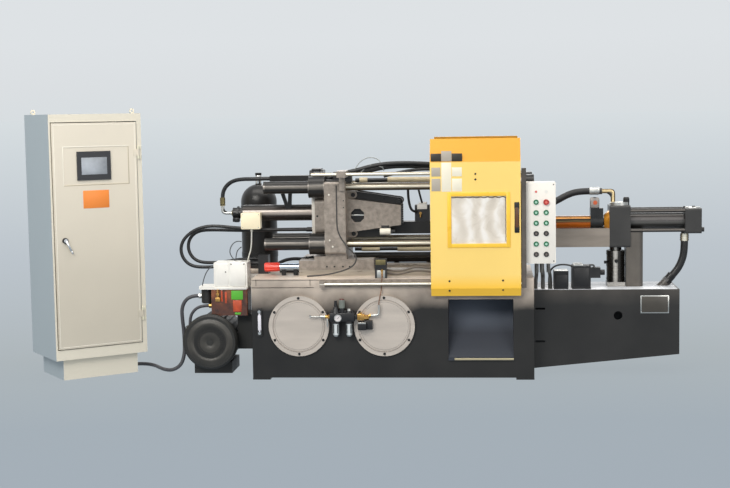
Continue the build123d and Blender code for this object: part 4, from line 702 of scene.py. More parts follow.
# Oil strainer: a red end cap on a blued steel shell, in two saddles on the bed's left end.
low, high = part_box("oil_strainer")
dress(black_oxide, "oil_strainer")
middle_y, middle_z = (low.y + high.y) / 2, high.z - 0.024
cap_end = low.x + 0.09
rod((low.x - 0.0005, middle_y, middle_z), (cap_end, middle_y, middle_z), 0.0246, sides=40)
for n in range(10):
    a = math.tau * n / 10
    y, z = (middle_y + 0.0235 * math.cos(a), middle_z + 0.0235 * math.sin(a))
    rod((low.x + 0.004, y, z), (cap_end - 0.012, y, z), 0.0035, sides=12)
piece("strainer_cap", enamel("red cap", (226, 52, 30), 0.35, mottle=0.1, patch=20, relief=0.02, coat=0.5))
rod((cap_end, middle_y, middle_z), (high.x, middle_y, middle_z), 0.0206, sides=40)
for x in (cap_end + 0.004, high.x - 0.012):
    ring((x, middle_y, middle_z), (x + 0.008, middle_y, middle_z), 0.0225, 0.018, 40)
piece("strainer_shell", plain("blued chrome", (178, 196, 214), 0.14, mottle=0.1, patch=18, metallic=1.0))

# Accumulator: a steel gas bottle in dark charcoal enamel, with a chromed valve neck on its dome.
dress(dark_enamel, "accumulator")
low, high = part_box("accumulator")
bottle = Vector(((low.x + high.x) / 2, (low.y + high.y) / 2, 0))
neck = 0.02
rod(bottle + Vector((0, 0, high.z - 0.066)), bottle + Vector((0, 0, high.z - 0.02)), neck + 0.0008, sides=32)
rod(bottle + Vector((0, 0, high.z - 0.02)), bottle + Vector((0, 0, high.z)), neck + 0.0008, neck - 0.003, 32)
ring(bottle + Vector((0, 0, high.z - 0.04)), bottle + Vector((0, 0, high.z - 0.034)), neck + 0.002, neck, 32)
piece("bottle_neck_cap", bright)
for z in (0.66, 0.95):
    ring(bottle + Vector((0, 0, z)), bottle + Vector((0, 0, z + 0.03)), 0.1145, 0.111, 72)
piece("bottle_straps", black_oxide)

# Pump motor: black enamelled shell, finned, with a pressed fan cowl dished in rings at its front.
motor_black = enamel("satin black enamel", (32, 32, 30), 0.55, mottle=0.22, patch=12, grain=140, relief=0.06)
dress(motor_black, "motor_body", "motor_cover", "pump")
low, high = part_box("motor_cover")
hub = Vector(((low.x + high.x) / 2, low.y, (low.z + high.z) / 2))
profile = [(0.018, 0.006), (0.022, 0.001), (0.052, 0.004), (0.098, 0.006), (0.104, -0.001), (0.12, -0.001),
           (0.126, 0.004), (0.15, 0.006), (0.153, 0.01)]
angles = [math.tau * n / 72 for n in range(72)]
loops = [[form.verts.new((hub.x + radius * math.cos(a), hub.y - 0.005 + depth, hub.z + radius * math.sin(a)))
          for a in angles] for radius, depth in profile]
form.faces.new(loops[0])
loops.append([form.verts.new((v.co.x, hub.y + 0.01, v.co.z)) for v in loops[-1]])
for near, far in zip(loops, loops[1:]):
    band(near, far)
form.faces.new(loops[-1])
piece("fan_cowl_face", enamel("dusty black enamel", (58, 56, 52), 0.45, mottle=0.4, patch=9, grain=120,
                              relief=0.08), crease=60)
for n in range(40):
    a = math.tau * n / 40
    out = Vector((math.cos(a), 0, math.sin(a)))
    place = Matrix.Translation(hub + Vector((0, -0.0035, 0)) + out * 0.062)
    place @= Matrix.Rotation(math.pi / 2 - a, 4, "Y")
    slab((-0.0025, -0.0006, 0), (0.0025, 0.0025, 0.03), turn=place)
piece("fan_cowl_slots", plain("cowl slot", (20, 20, 20), 0.7))
rod((hub.x, hub.y - 0.0045, hub.z), (hub.x, hub.y, hub.z), 0.02, 0.022, 32)
piece("fan_cowl_hub", motor_black)
bolts("terminal_screws", grid((-1.25, -1.195), -0.1605, (0.233, 0.279)), 0.004, 0.003, zinc)

# Lubricator: a white pump head over an amber oil tank, with a small black motor under its flange, bare
# green panels and a brass union.
white_gloss = enamel("white enamel", (240, 238, 232), 0.32, mottle=0.05, patch=10, grain=120, relief=0.03)
dress(white_gloss, "lubricator")
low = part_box("lubricator_tank")[0]
tank_amber = plain("oiled amber tank", (86, 44, 24), 0.16, mottle=0.5, patch=22, coat=1.0,
                   upper=((128, 70, 32), low.z + 0.06, low.z + 0.16))
dress(tank_amber, "lubricator_tank")
face = low.y
slab((-1.068, face - 0.004, 0.53), (-0.984, face + 0.002, 0.668), 0.003)
slab((-0.972, face - 0.006, 0.53), (-0.88, face + 0.002, 0.672), 0.003)
slab((-1.074, face - 0.01, 0.513), (-0.874, face + 0.002, 0.528), 0.002)
slab((-0.976, face + 0.002, 0.673), (-0.88, face + 0.08, 0.677), 0.001)
piece("lubricator_panels", white_gloss)
bolts("lubricator_screws", [(-1.0, face - 0.004, 0.618), (-0.965, face - 0.006, 0.665),
                            (-0.888, face - 0.006, 0.665)], 0.004, 0.002, black_oxide)
slab((-0.969, face - 0.0016, 0.452), (-0.899, face + 0.001, 0.506), 0.0015)
slab((-0.95, face - 0.0016, 0.362), (-0.915, face + 0.001, 0.374), 0.001)
piece("lubricator_green_panels", plain("green panel", (96, 190, 60), 0.4, mottle=0.05))
slab((-1.03, face - 0.003, 0.44), (-1.022, face + 0.001, 0.508), 0.001)
slab((-1.008, face - 0.003, 0.43), (-0.996, face + 0.001, 0.5), 0.001)
slab((-0.96, face - 0.0012, 0.38), (-0.908, face + 0.001, 0.448), 0.002)
piece("tank_ribs", plain("deep amber", (196, 74, 26), 0.2, mottle=0.3, patch=30, coat=1.0))
tube_x = -1.049
conduit_end = (-0.143, 0.411)
slab((-1.064, face - 0.018, 0.442), (-1.034, face - 0.001, 0.466), 0.003)
rod((tube_x, face - 0.01, 0.466), (tube_x, face - 0.01, 0.513), 0.007, sides=24)
rod((tube_x, face - 0.01, 0.48), (tube_x, face - 0.01, 0.492), 0.011, sides=6)
rod((-1.106, *conduit_end), (-1.07, *conduit_end), 0.0125, 0.011, 24)
ring((-1.112, *conduit_end), (-1.094, *conduit_end), 0.0142, 0.009, 24)
piece("lubricator_union", brass)
motor_x, motor_y = -1.127, -0.118
rod((motor_x, motor_y, 0.428), (motor_x, motor_y, 0.512), 0.0352, sides=48)
rod((motor_x, motor_y, 0.424), (motor_x, motor_y, 0.428), 0.03, sides=48)
ring((motor_x, motor_y, 0.455), (motor_x, motor_y, 0.459), 0.0358, 0.034)
piece("lubricator_motor_shell", motor_black)
ring((-1.18, motor_y, 0.468), (-1.16, motor_y, 0.468), 0.015, 0.011, 24)
ring((-1.176, motor_y, 0.468), (-1.166, motor_y, 0.468), 0.0165, 0.011, 8)
piece("cable_gland", zinc)
pipe([(-1.072, -0.15, 0.652), (-1.095, -0.15, 0.646), (-1.12, -0.15, 0.62), (-1.136, -0.15, 0.585),
      (-1.146, -0.15, 0.55), (-1.15, -0.15, 0.53)], 0.003)
pipe([(-0.918, -0.08, 0.79), (-0.945, -0.08, 0.796), (-0.978, -0.08, 0.772), (-0.992, -0.08, 0.735),
      (-0.986, -0.08, 0.705), (-0.962, -0.08, 0.676)], 0.003)
pipe([(-0.918, -0.084, 0.758), (-0.94, -0.084, 0.745), (-0.952, -0.084, 0.712), (-0.955, -0.084, 0.676)],
     0.003)
piece("thin_leads", plain("dark wire", (70, 74, 78), 0.4))

# Junction box: a cream steel box on the clamp cylinder, with a thin white conduit down to the bed.
cream_box = enamel("cream box enamel", (250, 237, 204), 0.42, mottle=0.04, patch=10, grain=160, relief=0.04)
dress(cream_box, "junction_box")
low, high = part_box("junction_box")
slab((low.x + 0.003, low.y - 0.002, low.z + 0.003), (high.x - 0.003, low.y + 0.002, high.z - 0.003), 0.002)
piece("junction_lid", cream_box)
bolts("junction_screws", grid((low.x + 0.01, high.x - 0.01), low.y - 0.002, (low.z + 0.01, high.z - 0.01)),
      0.003, 0.0015, zinc)
rod((-0.85, -0.105, low.z - 0.016), (-0.85, -0.105, low.z), 0.008, sides=24)
pipe([(-0.85, -0.105, low.z - 0.012), (-0.852, -0.105, 0.8), (-0.856, -0.105, 0.75), (-0.872, -0.105, 0.7),
      (-0.88, -0.1, 0.674)], 0.0042)
piece("junction_conduit", plain("pale conduit", (214, 214, 206), 0.4))

# Guard door: folded sheet in yellow enamel on two chromed rails, with a window frame of the same enamel
# round a clear sheet that still wears its crinkled film, a black handle and bare label plates.
# The enamel turns deeper orange towards the door's foot and darker orange on its top band: painted shade on
# the folds.
guard_yellow_painted_shade = enamel("yellow enamel", (252, 216, 122), 0.42, mottle=0.03, patch=2.4, grain=240, relief=0.03,
                      upper=((222, 158, 46), 1.262, 1.266), sway=0.0, lower=((255, 200, 62), 0.54, 0.62))
dress(guard_yellow_painted_shade, "guard_door", "rear_guard")
# The rails carry a painted highlight along the side facing the eye.
rail_bar = bar_painted_highlight("chromed rail", (255, 250, 236), (190, 178, 152), (44, 40, 34), 0.18, 0.45, 0.22)
dress(rail_bar, "guard_rails")
black_handle = enamel("black handle moulding", (24, 24, 25), 0.35, mottle=0.1, patch=40, relief=0.04)
dress(black_handle, "guard_handle")


def film_material():
    """The window's clear sheet under its pale film, which has soft folds and streaks."""
    material, net, shader = new_material("clear sheet with film")
    spot = net.add("TexCoord").outputs["Object"]
    folds = net.add("TexNoise", {"Vector": spot, "Scale": 9, "Detail": 5, "Distortion": 1.6}).outputs["Fac"]
    streaks = net.add("TexWave", {"Vector": spot, "Scale": 3.2, "Distortion": 7, "Detail": 3}).outputs["Fac"]
    both = net.add("Mix", {0: 0.35, 2: folds, 3: streaks}).outputs[0]
    shade = net.ramp(both, [(0.28, (212, 203, 190)), (0.5, (226, 218, 206)), (0.72, (242, 238, 232))])
    bump = net.add("Bump", {"Strength": 0.5, "Distance": 0.012, "Height": both})
    net.fill(shader, {"Base Color": shade, "Roughness": net.spread(folds, 0.3, 0.7, 0.16, 0.42),
                      "Coat Weight": 0.6, "Normal": bump.outputs[0]})
    return material


dress(film_material(), "guard_window")
frame_low = Vector((0.3305, -0.409, 0.7755))
frame_high = Vector((0.6865, -0.409, 1.0905))
rim = 0.022
window_yellow = enamel("window frame enamel", (255, 202, 66), 0.32, mottle=0.05, patch=14, relief=0.02)
lap, face_bevel = 0.0005, 0.0012
front, back = frame_low.y - 0.0008, frame_low.y + 0.003
slab((frame_low.x - lap, front, frame_low.z - lap), (frame_low.x + rim, back, frame_high.z + lap), face_bevel)
slab((frame_high.x - rim, front, frame_low.z - lap), (frame_high.x + lap, back, frame_high.z + lap),
     face_bevel)
inner_low, inner_high = frame_low.x + rim - lap, frame_high.x - rim + lap
slab((inner_low, front, frame_low.z - lap), (inner_high, back, frame_low.z + rim), face_bevel)
slab((inner_low, front, frame_high.z - rim), (inner_high, back, frame_high.z + lap), face_bevel)
piece("window_frame_face", window_yellow, "guard_door")
edge = [(frame_low.x + rim + 0.001 + (frame_high.x - frame_low.x - 2 * rim - 0.002) * n / 24, -0.4015,
         frame_high.z - rim - 0.007 - 0.0035 * math.sin(n * 1.9) - 0.002 * math.sin(n * 4.3))
        for n in range(25)]
pipe(edge, 0.0028)
down = [(frame_high.x - rim - 0.004 - 0.002 * math.sin(n * 2.3), -0.4015,
         frame_high.z - rim - 0.008 - (frame_high.z - frame_low.z - 2 * rim - 0.02) * n / 18)
        for n in range(19)]
pipe(down, 0.0016)
piece("film_torn_edge", plain("film shadow", (70, 56, 40), 0.5, mottle=0.4, patch=40),
      "guard_door")
face_y = -0.405
label_grey = plain("grey label", (176, 168, 156), 0.45, mottle=0.04)
label_pale = plain("pale label", (238, 232, 212), 0.45, mottle=0.03, patch=12)
label_dark = plain("dark label", (44, 40, 32), 0.45, mottle=0.06)
dark_spots = [(0.2385, 1.2685, 0.2975, 1.313), (0.3575, 1.2685, 0.4165, 1.313)]
grey_spots = [(0.2985, 1.2685, 0.3565, 1.327), (0.2415, 1.183, 0.293, 1.234), (0.2415, 1.099, 0.293, 1.17)]
pale_spots = [(0.2985, 1.096, 0.354, 1.2615), (0.358, 1.183, 0.414, 1.234), (0.358, 1.097, 0.414, 1.17)]
labels = [("door_labels_dark", label_dark, dark_spots), ("door_label_grey", label_grey, grey_spots),
          ("door_labels_pale", label_pale, pale_spots)]
for name, finish, spots in labels:
    for x0, z0, x1, z1 in spots:
        slab((x0, face_y - 0.001, z0), (x1, face_y + 0.0004, z1), 0.0004)
    piece(name, finish, "guard_door")
spots = [(0.4907, face_y, 1.1955), (0.4907, face_y, 1.164), (0.3385, face_y, 0.5826),
         (0.6438, face_y, 0.5852), (0.3385, -0.3992, 0.527), (0.6438, -0.3992, 0.5305)]
bolts("door_screws", spots, 0.0062, 0.0025, black_oxide, body="guard_door")
grip_low, grip_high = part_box("guard_handle")
grip_x = (grip_low.x + grip_high.x) / 2
for z0, z1 in ((grip_low.z, grip_low.z + 0.04), (grip_high.z - 0.04, grip_high.z)):
    slab((grip_low.x - 0.001, grip_low.y + 0.004, z0 - 0.001), (grip_high.x + 0.001, face_y, z1 + 0.001),
         0.006)
piece("handle_ends", black_handle, "guard_door")
slab((grip_x - 0.0105, grip_low.y - 0.001, grip_low.z + 0.028),
     (grip_x + 0.0105, grip_low.y + 0.012, grip_high.z - 0.028), 0.004)
piece("handle_grip", enamel("amber-brown grip", (98, 62, 34), 0.35, mottle=0.12, patch=20, relief=0.03,
                            coat=0.3), "guard_door")
bolts("handle_screws", [(grip_x, grip_low.y + 0.004, z) for z in (grip_low.z + 0.012, grip_high.z - 0.012)],
      0.0055, 0.003, plain("amber screw cap", (190, 110, 40), 0.35), body="guard_door")

# Button box: a white enamelled box with fourteen mushroom and flat buttons and lamps in bright bezels,
# two to a row, and a screw near each corner; nothing is written on it.
box_white = enamel("white box enamel", (240, 236, 228), 0.42, mottle=0.03, patch=6, grain=200, relief=0.03)
dress(box_white, "button_box")
low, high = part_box("button_box")
face_y = low.y
row_pitch = 0.0598
top_row = 1.088
columns = (0.83425, 0.89125)
rows = (("green", "red"), ("green", "green"), ("green", "green"), ("black", "black"), ("green", "green"),
        ("black", "black"))
heights = [top_row - row_pitch * (row + 1) for row in range(len(rows))]
buttons = [(x, z, name) for z, pair in zip(heights, rows) for x, name in zip(columns, pair)]
reach = {"red": 0.014, "green": 0.0085, "black": 0.0085}
for name, shade in (("red", (176, 44, 38)), ("green", (24, 112, 74)), ("black", (38, 34, 33))):
    for x, z, kind in buttons:
        if kind == name:
            rod((x, face_y - 0.004, z), (x, face_y, z), 0.015)
            ring((x, face_y - reach[name], z), (x, face_y - 0.003, z), 0.0165 if name == "red" else 0.0135,
                 0.0072, 40)
    finish = enamel(name + " button ring", shade, 0.3, mottle=0.08, patch=60, relief=0.02, coat=0.4)
    made = piece("button_rings_" + name, finish)
    if name == "black":
        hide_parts("push_buttons")
for name, shade in (("red", (232, 120, 108)), ("green", (176, 214, 196)), ("black", (112, 102, 98))):
    for x, z, kind in buttons:
        if kind == name:
            rod((x, face_y - reach[name] + 0.0012, z), (x, face_y - 0.003, z), 0.0074, sides=28)
    finish = plain(name + " button cap", shade, 0.3, mottle=0.04, patch=60, coat=0.4)
    piece("button_caps_" + name, finish)
rod((columns[0], face_y - 0.005, top_row), (columns[0], face_y, top_row), 0.0062, 0.005, 24)
piece("power_lamp", plain("power lamp", (226, 96, 84), 0.25, coat=0.6))
rod((columns[1], face_y - 0.004, top_row), (columns[1], face_y, top_row), 0.009, 0.008, 28)
ring((columns[0], face_y - 0.003, top_row), (columns[0], face_y, top_row), 0.0085, 0.006, 28)
piece("white_lamp", plain("white lamp", (236, 234, 228), 0.25, coat=0.6))
bolts("button_box_screws", grid((low.x + 0.012, high.x - 0.012), face_y, (low.z + 0.014, high.z - 0.014)),
      0.0042, 0.002, black_oxide)
slab((low.x + 0.004, face_y - 0.0012, low.z + 0.004), (high.x - 0.004, face_y + 0.002, high.z - 0.004), 0.001)
piece("button_box_lid", box_white)
for x, lean, radius in ((0.838, 0.0, 0.011), (0.868, 0.006, 0.012), (0.905, 0.01, 0.01)):
    pipe([(x, -0.3, low.z + 0.004), (x, -0.3, low.z - 0.03), (x + lean, -0.285, low.z - 0.07),
          (x + 2 * lean, deck_low.y + 0.034, deck_top + 0.048),
          (x + 2 * lean, deck_low.y + 0.04, deck_top + 0.002)], radius, sides=5)
    for n in range(9):
        z = low.z - 0.004 - 0.0062 * n
        ring((x, -0.3, z - 0.0034), (x, -0.3, z), radius + 0.0012, radius - 0.001, 24)
piece("button_box_conduits", enamel("braided conduit", (120, 118, 114), 0.35, mottle=0.2, patch=90,
                                    relief=0.1, metallic=0.7))

# Air unit: a black filter and lubricator pair with clear bowls, a round silver gauge, a grey knob and a
# brass tee, fed to a small valve at its right.
air_black = enamel("black air fitting", (28, 28, 30), 0.4, mottle=0.1, patch=40, relief=0.05)
low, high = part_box("air_unit")
air_y = (low.y + high.y) / 2
bowl_xs = (-0.3225, -0.2455)
knob_x = -0.286
slab((-0.3585, air_y - 0.02, 0.349), (-0.211, air_y + 0.0245, 0.401), 0.006)
slab((-0.35, air_y - 0.004, 0.352), (-0.22, air_y + 0.025, 0.412), 0.004)
for x in bowl_xs:
    rod((x, air_y, 0.338), (x, air_y, 0.352), 0.0252)
rod((bowl_xs[0], air_y, 0.398), (bowl_xs[0], air_y, 0.432), 0.0245, 0.013, 36)
rod((bowl_xs[0], air_y, 0.43), (bowl_xs[0], air_y, 0.47), 0.01, 0.0085, 28)
rod((knob_x, air_y, 0.398), (knob_x, air_y, 0.428), 0.015, sides=28)
rod((bowl_xs[1], air_y, 0.398), (bowl_xs[1], air_y, 0.411), 0.02, 0.016, 32)
slab((-0.211, air_y - 0.012, 0.362), (-0.197, air_y + 0.012, 0.388), 0.003)
slab((-0.193, low.y + 0.004, 0.3), (-0.144, high.y, 0.348), 0.004)
slab((-0.16, air_y - 0.006, 0.3), (-0.11, high.y, 0.352), 0.003)
air_piece = piece("air_unit_bodies", air_black)
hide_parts("air_unit")
# The bowls carry a painted highlight along the side facing the eye.
bowl_silver = bar_painted_highlight("bowl silver", (240, 244, 244), (146, 152, 152), (50, 52, 54), 0.2, 0.4, 0.26)
for x in bowl_xs:
    rod((x, air_y, 0.272), (x, air_y, 0.34), 0.0222, sides=40)
    rod((x, air_y, 0.262), (x, air_y, 0.272), 0.017, 0.0222, 40)
piece("air_bowls", bowl_silver)
for x in bowl_xs:
    for n in range(6):
        slab((-0.0026, -0.0236, 0.282), (0.0026, -0.0212, 0.332), 0.001,
             Matrix.Translation((x, air_y, 0)) @ Matrix.Rotation(math.tau * (n + 0.5) / 6, 4, "Z"))
    rod((x, air_y, 0.2575), (x, air_y, 0.263), 0.008, 0.01, 20)
piece("air_bowl_windows", air_black)
rod((knob_x, air_y, 0.428), (knob_x, air_y, 0.476), 0.017, 0.0158, 36)
for n in range(12):
    a = math.tau * n / 12
    rod((knob_x + 0.0166 * math.cos(a), air_y + 0.0166 * math.sin(a), 0.432),
        (knob_x + 0.0156 * math.cos(a), air_y + 0.0156 * math.sin(a), 0.472), 0.0013, sides=8)
piece("air_knob", enamel("grey knob", (116, 122, 116), 0.4, mottle=0.08, patch=30, relief=0.03))
rod((knob_x, air_y, 0.476), (knob_x, air_y, 0.48), 0.015, 0.013, 32)
piece("air_knob_cap", plain("dark red cap", (90, 40, 34), 0.4))
gauge_centre = Vector((-0.308, air_y - 0.02, 0.3715))
rod(gauge_centre + Vector((0, -0.008, 0)), gauge_centre + Vector((0, 0.008, 0)), 0.0205, 0.0215, 40)
ring(gauge_centre + Vector((0, -0.0105, 0)), gauge_centre + Vector((0, -0.007, 0)), 0.0215, 0.0175, 40)
rod((bowl_xs[1], air_y, 0.411), (bowl_xs[1], air_y, 0.424), 0.0115, 0.01, 28)
piece("air_gauge_case", zinc)
rod(gauge_centre + Vector((0, -0.0086, 0)), gauge_centre + Vector((0, -0.007, 0)), 0.0176, sides=40)
piece("air_gauge_dial", plain("gauge dial", (222, 216, 216), 0.3, mottle=0.03, coat=1.0))
hand_turn = 0.7
slab((-0.0009, -0.0094, -0.004), (0.0009, -0.0086, 0.013),
     turn=Matrix.Translation(gauge_centre) @ Matrix.Rotation(hand_turn, 4, "Y"))
piece("air_gauge_hand", black_oxide)
rod((-0.37, air_y, 0.376), (-0.358, air_y, 0.376), 0.013, sides=6)
rod((-0.384, air_y, 0.376), (-0.37, air_y, 0.376), 0.0095, sides=28)
slab((-0.197, air_y - 0.015, 0.356), (-0.156, air_y + 0.015, 0.394), 0.004)
rod((-0.157, air_y, 0.372), (-0.13, air_y, 0.372), 0.0145, sides=6)
rod((-0.1765, air_y, 0.392), (-0.1765, air_y, 0.402), 0.0085, sides=6)
rod((-0.13, air_y, 0.38), (-0.118, air_y, 0.383), 0.0095, sides=28)
piece("air_brass_fittings", brass)
rod((-0.412, air_y, 0.377), (-0.383, air_y, 0.377), 0.0085, sides=28)
slab((-0.47, air_y - 0.0045, 0.3735), (-0.404, air_y + 0.0045, 0.3805), 0.002)
rod((-0.4715, air_y, 0.37), (-0.4715, air_y, 0.386), 0.0055, sides=20)
slab((-0.376, air_y - 0.004, 0.318), (-0.368, air_y + 0.004, 0.366), 0.002)
slab((-0.191, low.y + 0.0025, 0.338), (-0.146, low.y + 0.006, 0.347), 0.001)
pipe([(-0.12, air_y, 0.382), (-0.1, air_y, 0.384), (-0.078, air_y, 0.386), (-0.072, air_y, 0.398),
      (-0.071, air_y, 0.418), (-0.071, air_y, 0.444)], 0.0072, sides=6)
piece("air_silver_fittings", zinc)
pipe([(-0.071, air_y, 0.44), (-0.071, -0.393, 0.458), (-0.068, -0.3735, 0.476), (-0.064, -0.3725, 0.5),
      (-0.058, -0.362, 0.524), (-0.055, -0.359, 0.555), (-0.054, -0.358, 0.585), (-0.053, -0.352, 0.605),
      (-0.053, -0.348, 0.616)], 0.0028)
piece("air_line", plain("copper-brown air line", (120, 84, 62), 0.35, metallic=0.5))

# Shot unit: a grey cast head on a column, a dark tube held by tie rods, brown steel side beams, the
# amber plunger and its black coupling, two fat hoses and a black jack under the beams.
shot_enamel = enamel("shot grey enamel", (54, 53, 52), 0.34, mottle=0.12, patch=7, grain=150, relief=0.05)
dress(shot_enamel, "shot_head", "shot_end_cap")
# The shot tube carries a painted highlight along the side facing the eye.
dress(bar_painted_highlight("shot tube enamel", (92, 91, 88), (46, 45, 44), (18, 18, 18), 0.34, 0.2, 0.16), "shot_tube")
dress(enamel("column enamel", (92, 87, 81), 0.42, mottle=0.14, patch=14, grain=150, relief=0.06),
      "shot_column")
dress(bright, "shot_sleeve")
coupling_black = enamel("coupling black", (27, 28, 29), 0.3, mottle=0.2, patch=20, relief=0.04)
dress(coupling_black, "shot_coupling")
beam_steel = enamel("brown ground beam", (148, 138, 128), 0.34, mottle=0.22, patch=8, grain=80, relief=0.05,
                    metallic=0.45, stretch=(0.35, 2, 2))
dress(beam_steel, "shot_beams")
amber = plain("amber oiled steel", (206, 140, 44), 0.26, mottle=0.12, patch=12, metallic=0.4,
              stretch=(0.5, 2, 2), coat=0.6)


def bar_painted_reflection(name, axis, stops):
    """A polished bar with painted reflection: long light and dark bands round its axis, set by height, that
    waver a little.
    """
    material, net, shader = new_material(name)
    spot = net.add("TexCoord").outputs["Object"]
    height = net.add("SeparateXYZ", {0: spot}).outputs["Z"]
    wander = net.add("TexNoise", {"Vector": spot, "Scale": 6}).outputs["Fac"]
    level = net.math("MULTIPLY_ADD", wander, 0.008, height)
    shade = net.ramp(net.spread(level, axis - 0.036, axis + 0.044), stops)
    net.fill(shader, {"Base Color": shade, "Metallic": 0.4, "Roughness": 0.26, "Coat Weight": 0.15})
    return material


axis = 0.884
reflection_bands = [(0, (120, 56, 8)), (0.16, (214, 112, 18)), (0.48, (190, 98, 20)), (0.54, (40, 28, 12)),
             (0.6, (128, 104, 60)), (0.66, (36, 28, 14)), (0.76, (58, 42, 16)), (0.8, (176, 116, 32)),
             (1, (96, 58, 18))]
dress(bar_painted_reflection("amber plunger, painted reflection", axis, reflection_bands), "plunger_rod")
slab((1.165, -0.0232, 0.966), (1.219, 0.0232, 1.03), 0.01)
piece("coupling_lug", enamel("lug grey", (150, 144, 140), 0.4, mottle=0.12, patch=30, relief=0.05),
      "plunger")
spot_x, spot_z = 1.194, 1.0
rod((spot_x, -0.025, spot_z), (spot_x, -0.0225, spot_z), 0.0125, 0.0115, 28)
piece("coupling_orange_spot", plain("orange cap", (196, 88, 44), 0.35, coat=0.4), "plunger")
rod((1.245, 0, axis), (1.2745, 0, axis), 0.042, 0.069, 60)
piece("shot_gland_cone", amber)
cap_x = 1.335
rod((cap_x, 0, 0.984), (cap_x, 0, 0.9995), 0.0548, sides=60)
rod((cap_x, 0, 0.9995), (cap_x, 0, 1.0015), 0.0548, 0.052, 60)
rod((1.762, 0, 0.9635), (1.762, 0, 0.969), 0.046, 0.0445, 60)
piece("shot_bright_caps", zinc)
plug_x = 1.378
rod((plug_x, 0, 0.999), (plug_x, 0, 1.018), 0.0186, sides=32)
rod((plug_x, 0, 1.018), (plug_x, 0, 1.03), 0.0186, 0.014, 32)
rod((1.77, 0, 0.9685), (1.77, 0, 0.974), 0.0115, 0.01, 6)
rod((1.716, 0, 0.9635), (1.716, 0, 0.9725), 0.006, sides=20)
piece("shot_plugs", black_oxide)
# The elbow's golden line is a painted highlight along the side facing the eye.
elbow_finish = bar_painted_highlight("chromated elbow", (246, 222, 170), (128, 106, 72), (52, 42, 28), 0.24, 0.5, 0.22)
elbow_x, elbow_y, hose_z = 1.304, 0.046, 1.064
pipe([(elbow_x, elbow_y, 0.986), (elbow_x, elbow_y, 1.02), (elbow_x, elbow_y, 1.056),
      (1.297, elbow_y, hose_z), (1.262, elbow_y, hose_z), (1.236, elbow_y, hose_z)], 0.0135, sides=6)
rod((elbow_x, elbow_y, 0.984), (elbow_x, elbow_y, 0.996), 0.019, 0.016, 32)
rod((1.24, elbow_y, hose_z), (1.222, elbow_y, hose_z), 0.018, sides=32)
piece("shot_elbow", elbow_finish)
rod((1.1648, elbow_y, hose_z), (1.223, elbow_y, hose_z), 0.0222, sides=40)
for x in (1.17, 1.183, 1.196, 1.209):
    ring((x, elbow_y, hose_z), (x + 0.007, elbow_y, hose_z), 0.0234, 0.02, 40)
piece("shot_top_ferrule", zinc)
drop_x = 1.718
for z in (0.772, 0.784, 0.796):
    ring((drop_x, 0, z), (drop_x, 0, z + 0.007), 0.0258, 0.02, 40)
ring((drop_x, 0, 0.768), (drop_x, 0, 0.812), 0.0245, 0.02, 40)
# The ferrule carries a painted highlight along the side facing the eye.
ferrule_steel = bar_painted_highlight("ferrule steel", (255, 250, 232), (150, 138, 112), (48, 44, 38), 0.2, 0.5, 0.28)
piece("shot_low_ferrule", ferrule_steel)
foot = Vector((1.6177, 0, 0.5308))
out = Vector((0.64, 0, 0.766)).normalized()
ring(foot - out * 0.004, foot + out * 0.046, 0.0262, 0.0222, 40)
ring(foot - out * 0.01, foot + out * 0.01, 0.03, 0.0222, 6)
piece("shot_foot_collar", black_oxide)
barrel_z = axis + 0.011
ring((1.4, 0, barrel_z), (1.708, 0, barrel_z), 0.0418, 0.035, 60)
# The barrel carries a painted highlight along the side facing the eye.
piece("shot_barrel", bar_painted_highlight("dark barrel, painted highlight", (112, 108, 106), (50, 47, 45), (22, 21, 20), 0.24, 0.4,
                                0.24))
for y in (-0.0575, 0.0575):
    for z in (0.8375, 0.9525):
        rod((1.398, y, z), (1.711, y, z), 0.0124, sides=24)
# The tie rods carry a painted highlight along the side facing the eye.
piece("shot_tie_rods",
      bar_painted_highlight("blackened rod", (118, 112, 106), (48, 46, 44), (22, 21, 20), 0.3, 0.3, 0.16))
jack_x = 1.315
for start, end in ((0.54, 0.552), (0.622, 0.634), (0.69, 0.7145)):
    ring((jack_x, 0, start), (jack_x, 0, end), 0.0548, 0.05, 60)
ring((jack_x, 0, 0.716), (jack_x, 0, 0.735), 0.035, 0.026)
piece("jack_bands", jack_finish)
rod((1.264, -0.02, 0.645), (1.246, -0.02, 0.645), 0.009, sides=6)
rod((jack_x, -0.052, 0.655), (jack_x, -0.0585, 0.655), 0.012, sides=6)
piece("jack_ports", black_oxide)

# Valve blocks: cast black bodies under a stack with a solenoid, a knob and pale covers, on the
# extension, with leads arching between them.
slab((0.946, -0.172, 0.6085), (1.025, -0.068, 0.6125), 0.001)
slab((1.056, -0.172, 0.6375), (1.112, -0.068, 0.65), 0.003)
piece("valve_pale_tops", zinc)
slab((1.06, -0.1775, 0.52), (1.146, -0.1735, 0.628), 0.002)
slab((0.95, -0.1775, 0.512), (1.021, -0.1735, 0.59), 0.002)
piece("valve_stack_plates", valve_black)
spots = grid((0.95, 1.021), -0.1735, (0.512, 0.592))
spots += grid((1.056, 1.15), -0.1735, (0.512, 0.568))
bolts("valve_screws", spots, 0.005, 0.004, black_oxide)
solenoid = (-0.144, 0.599)
ring((1.213, *solenoid), (1.239, *solenoid), 0.0162, 0.01, 32)
rod((1.236, *solenoid), (1.24, *solenoid), 0.012, 0.01, 32)
piece("solenoid_nut", valve_black)
pipe([(1.062, -0.15, 0.628), (1.046, -0.156, 0.64), (1.01, -0.16, 0.648), (0.965, -0.16, 0.646),
      (0.93, -0.158, 0.626), (0.916, -0.156, 0.59), (0.914, -0.154, 0.55), (0.914, -0.15, 0.506)], 0.005)
pipe([(1.18, -0.13, 0.626), (1.18, -0.13, 0.636), (1.172, -0.126, 0.642), (1.15, -0.124, 0.64)], 0.005)
piece("valve_leads", plain("valve lead", (52, 50, 48), 0.4))

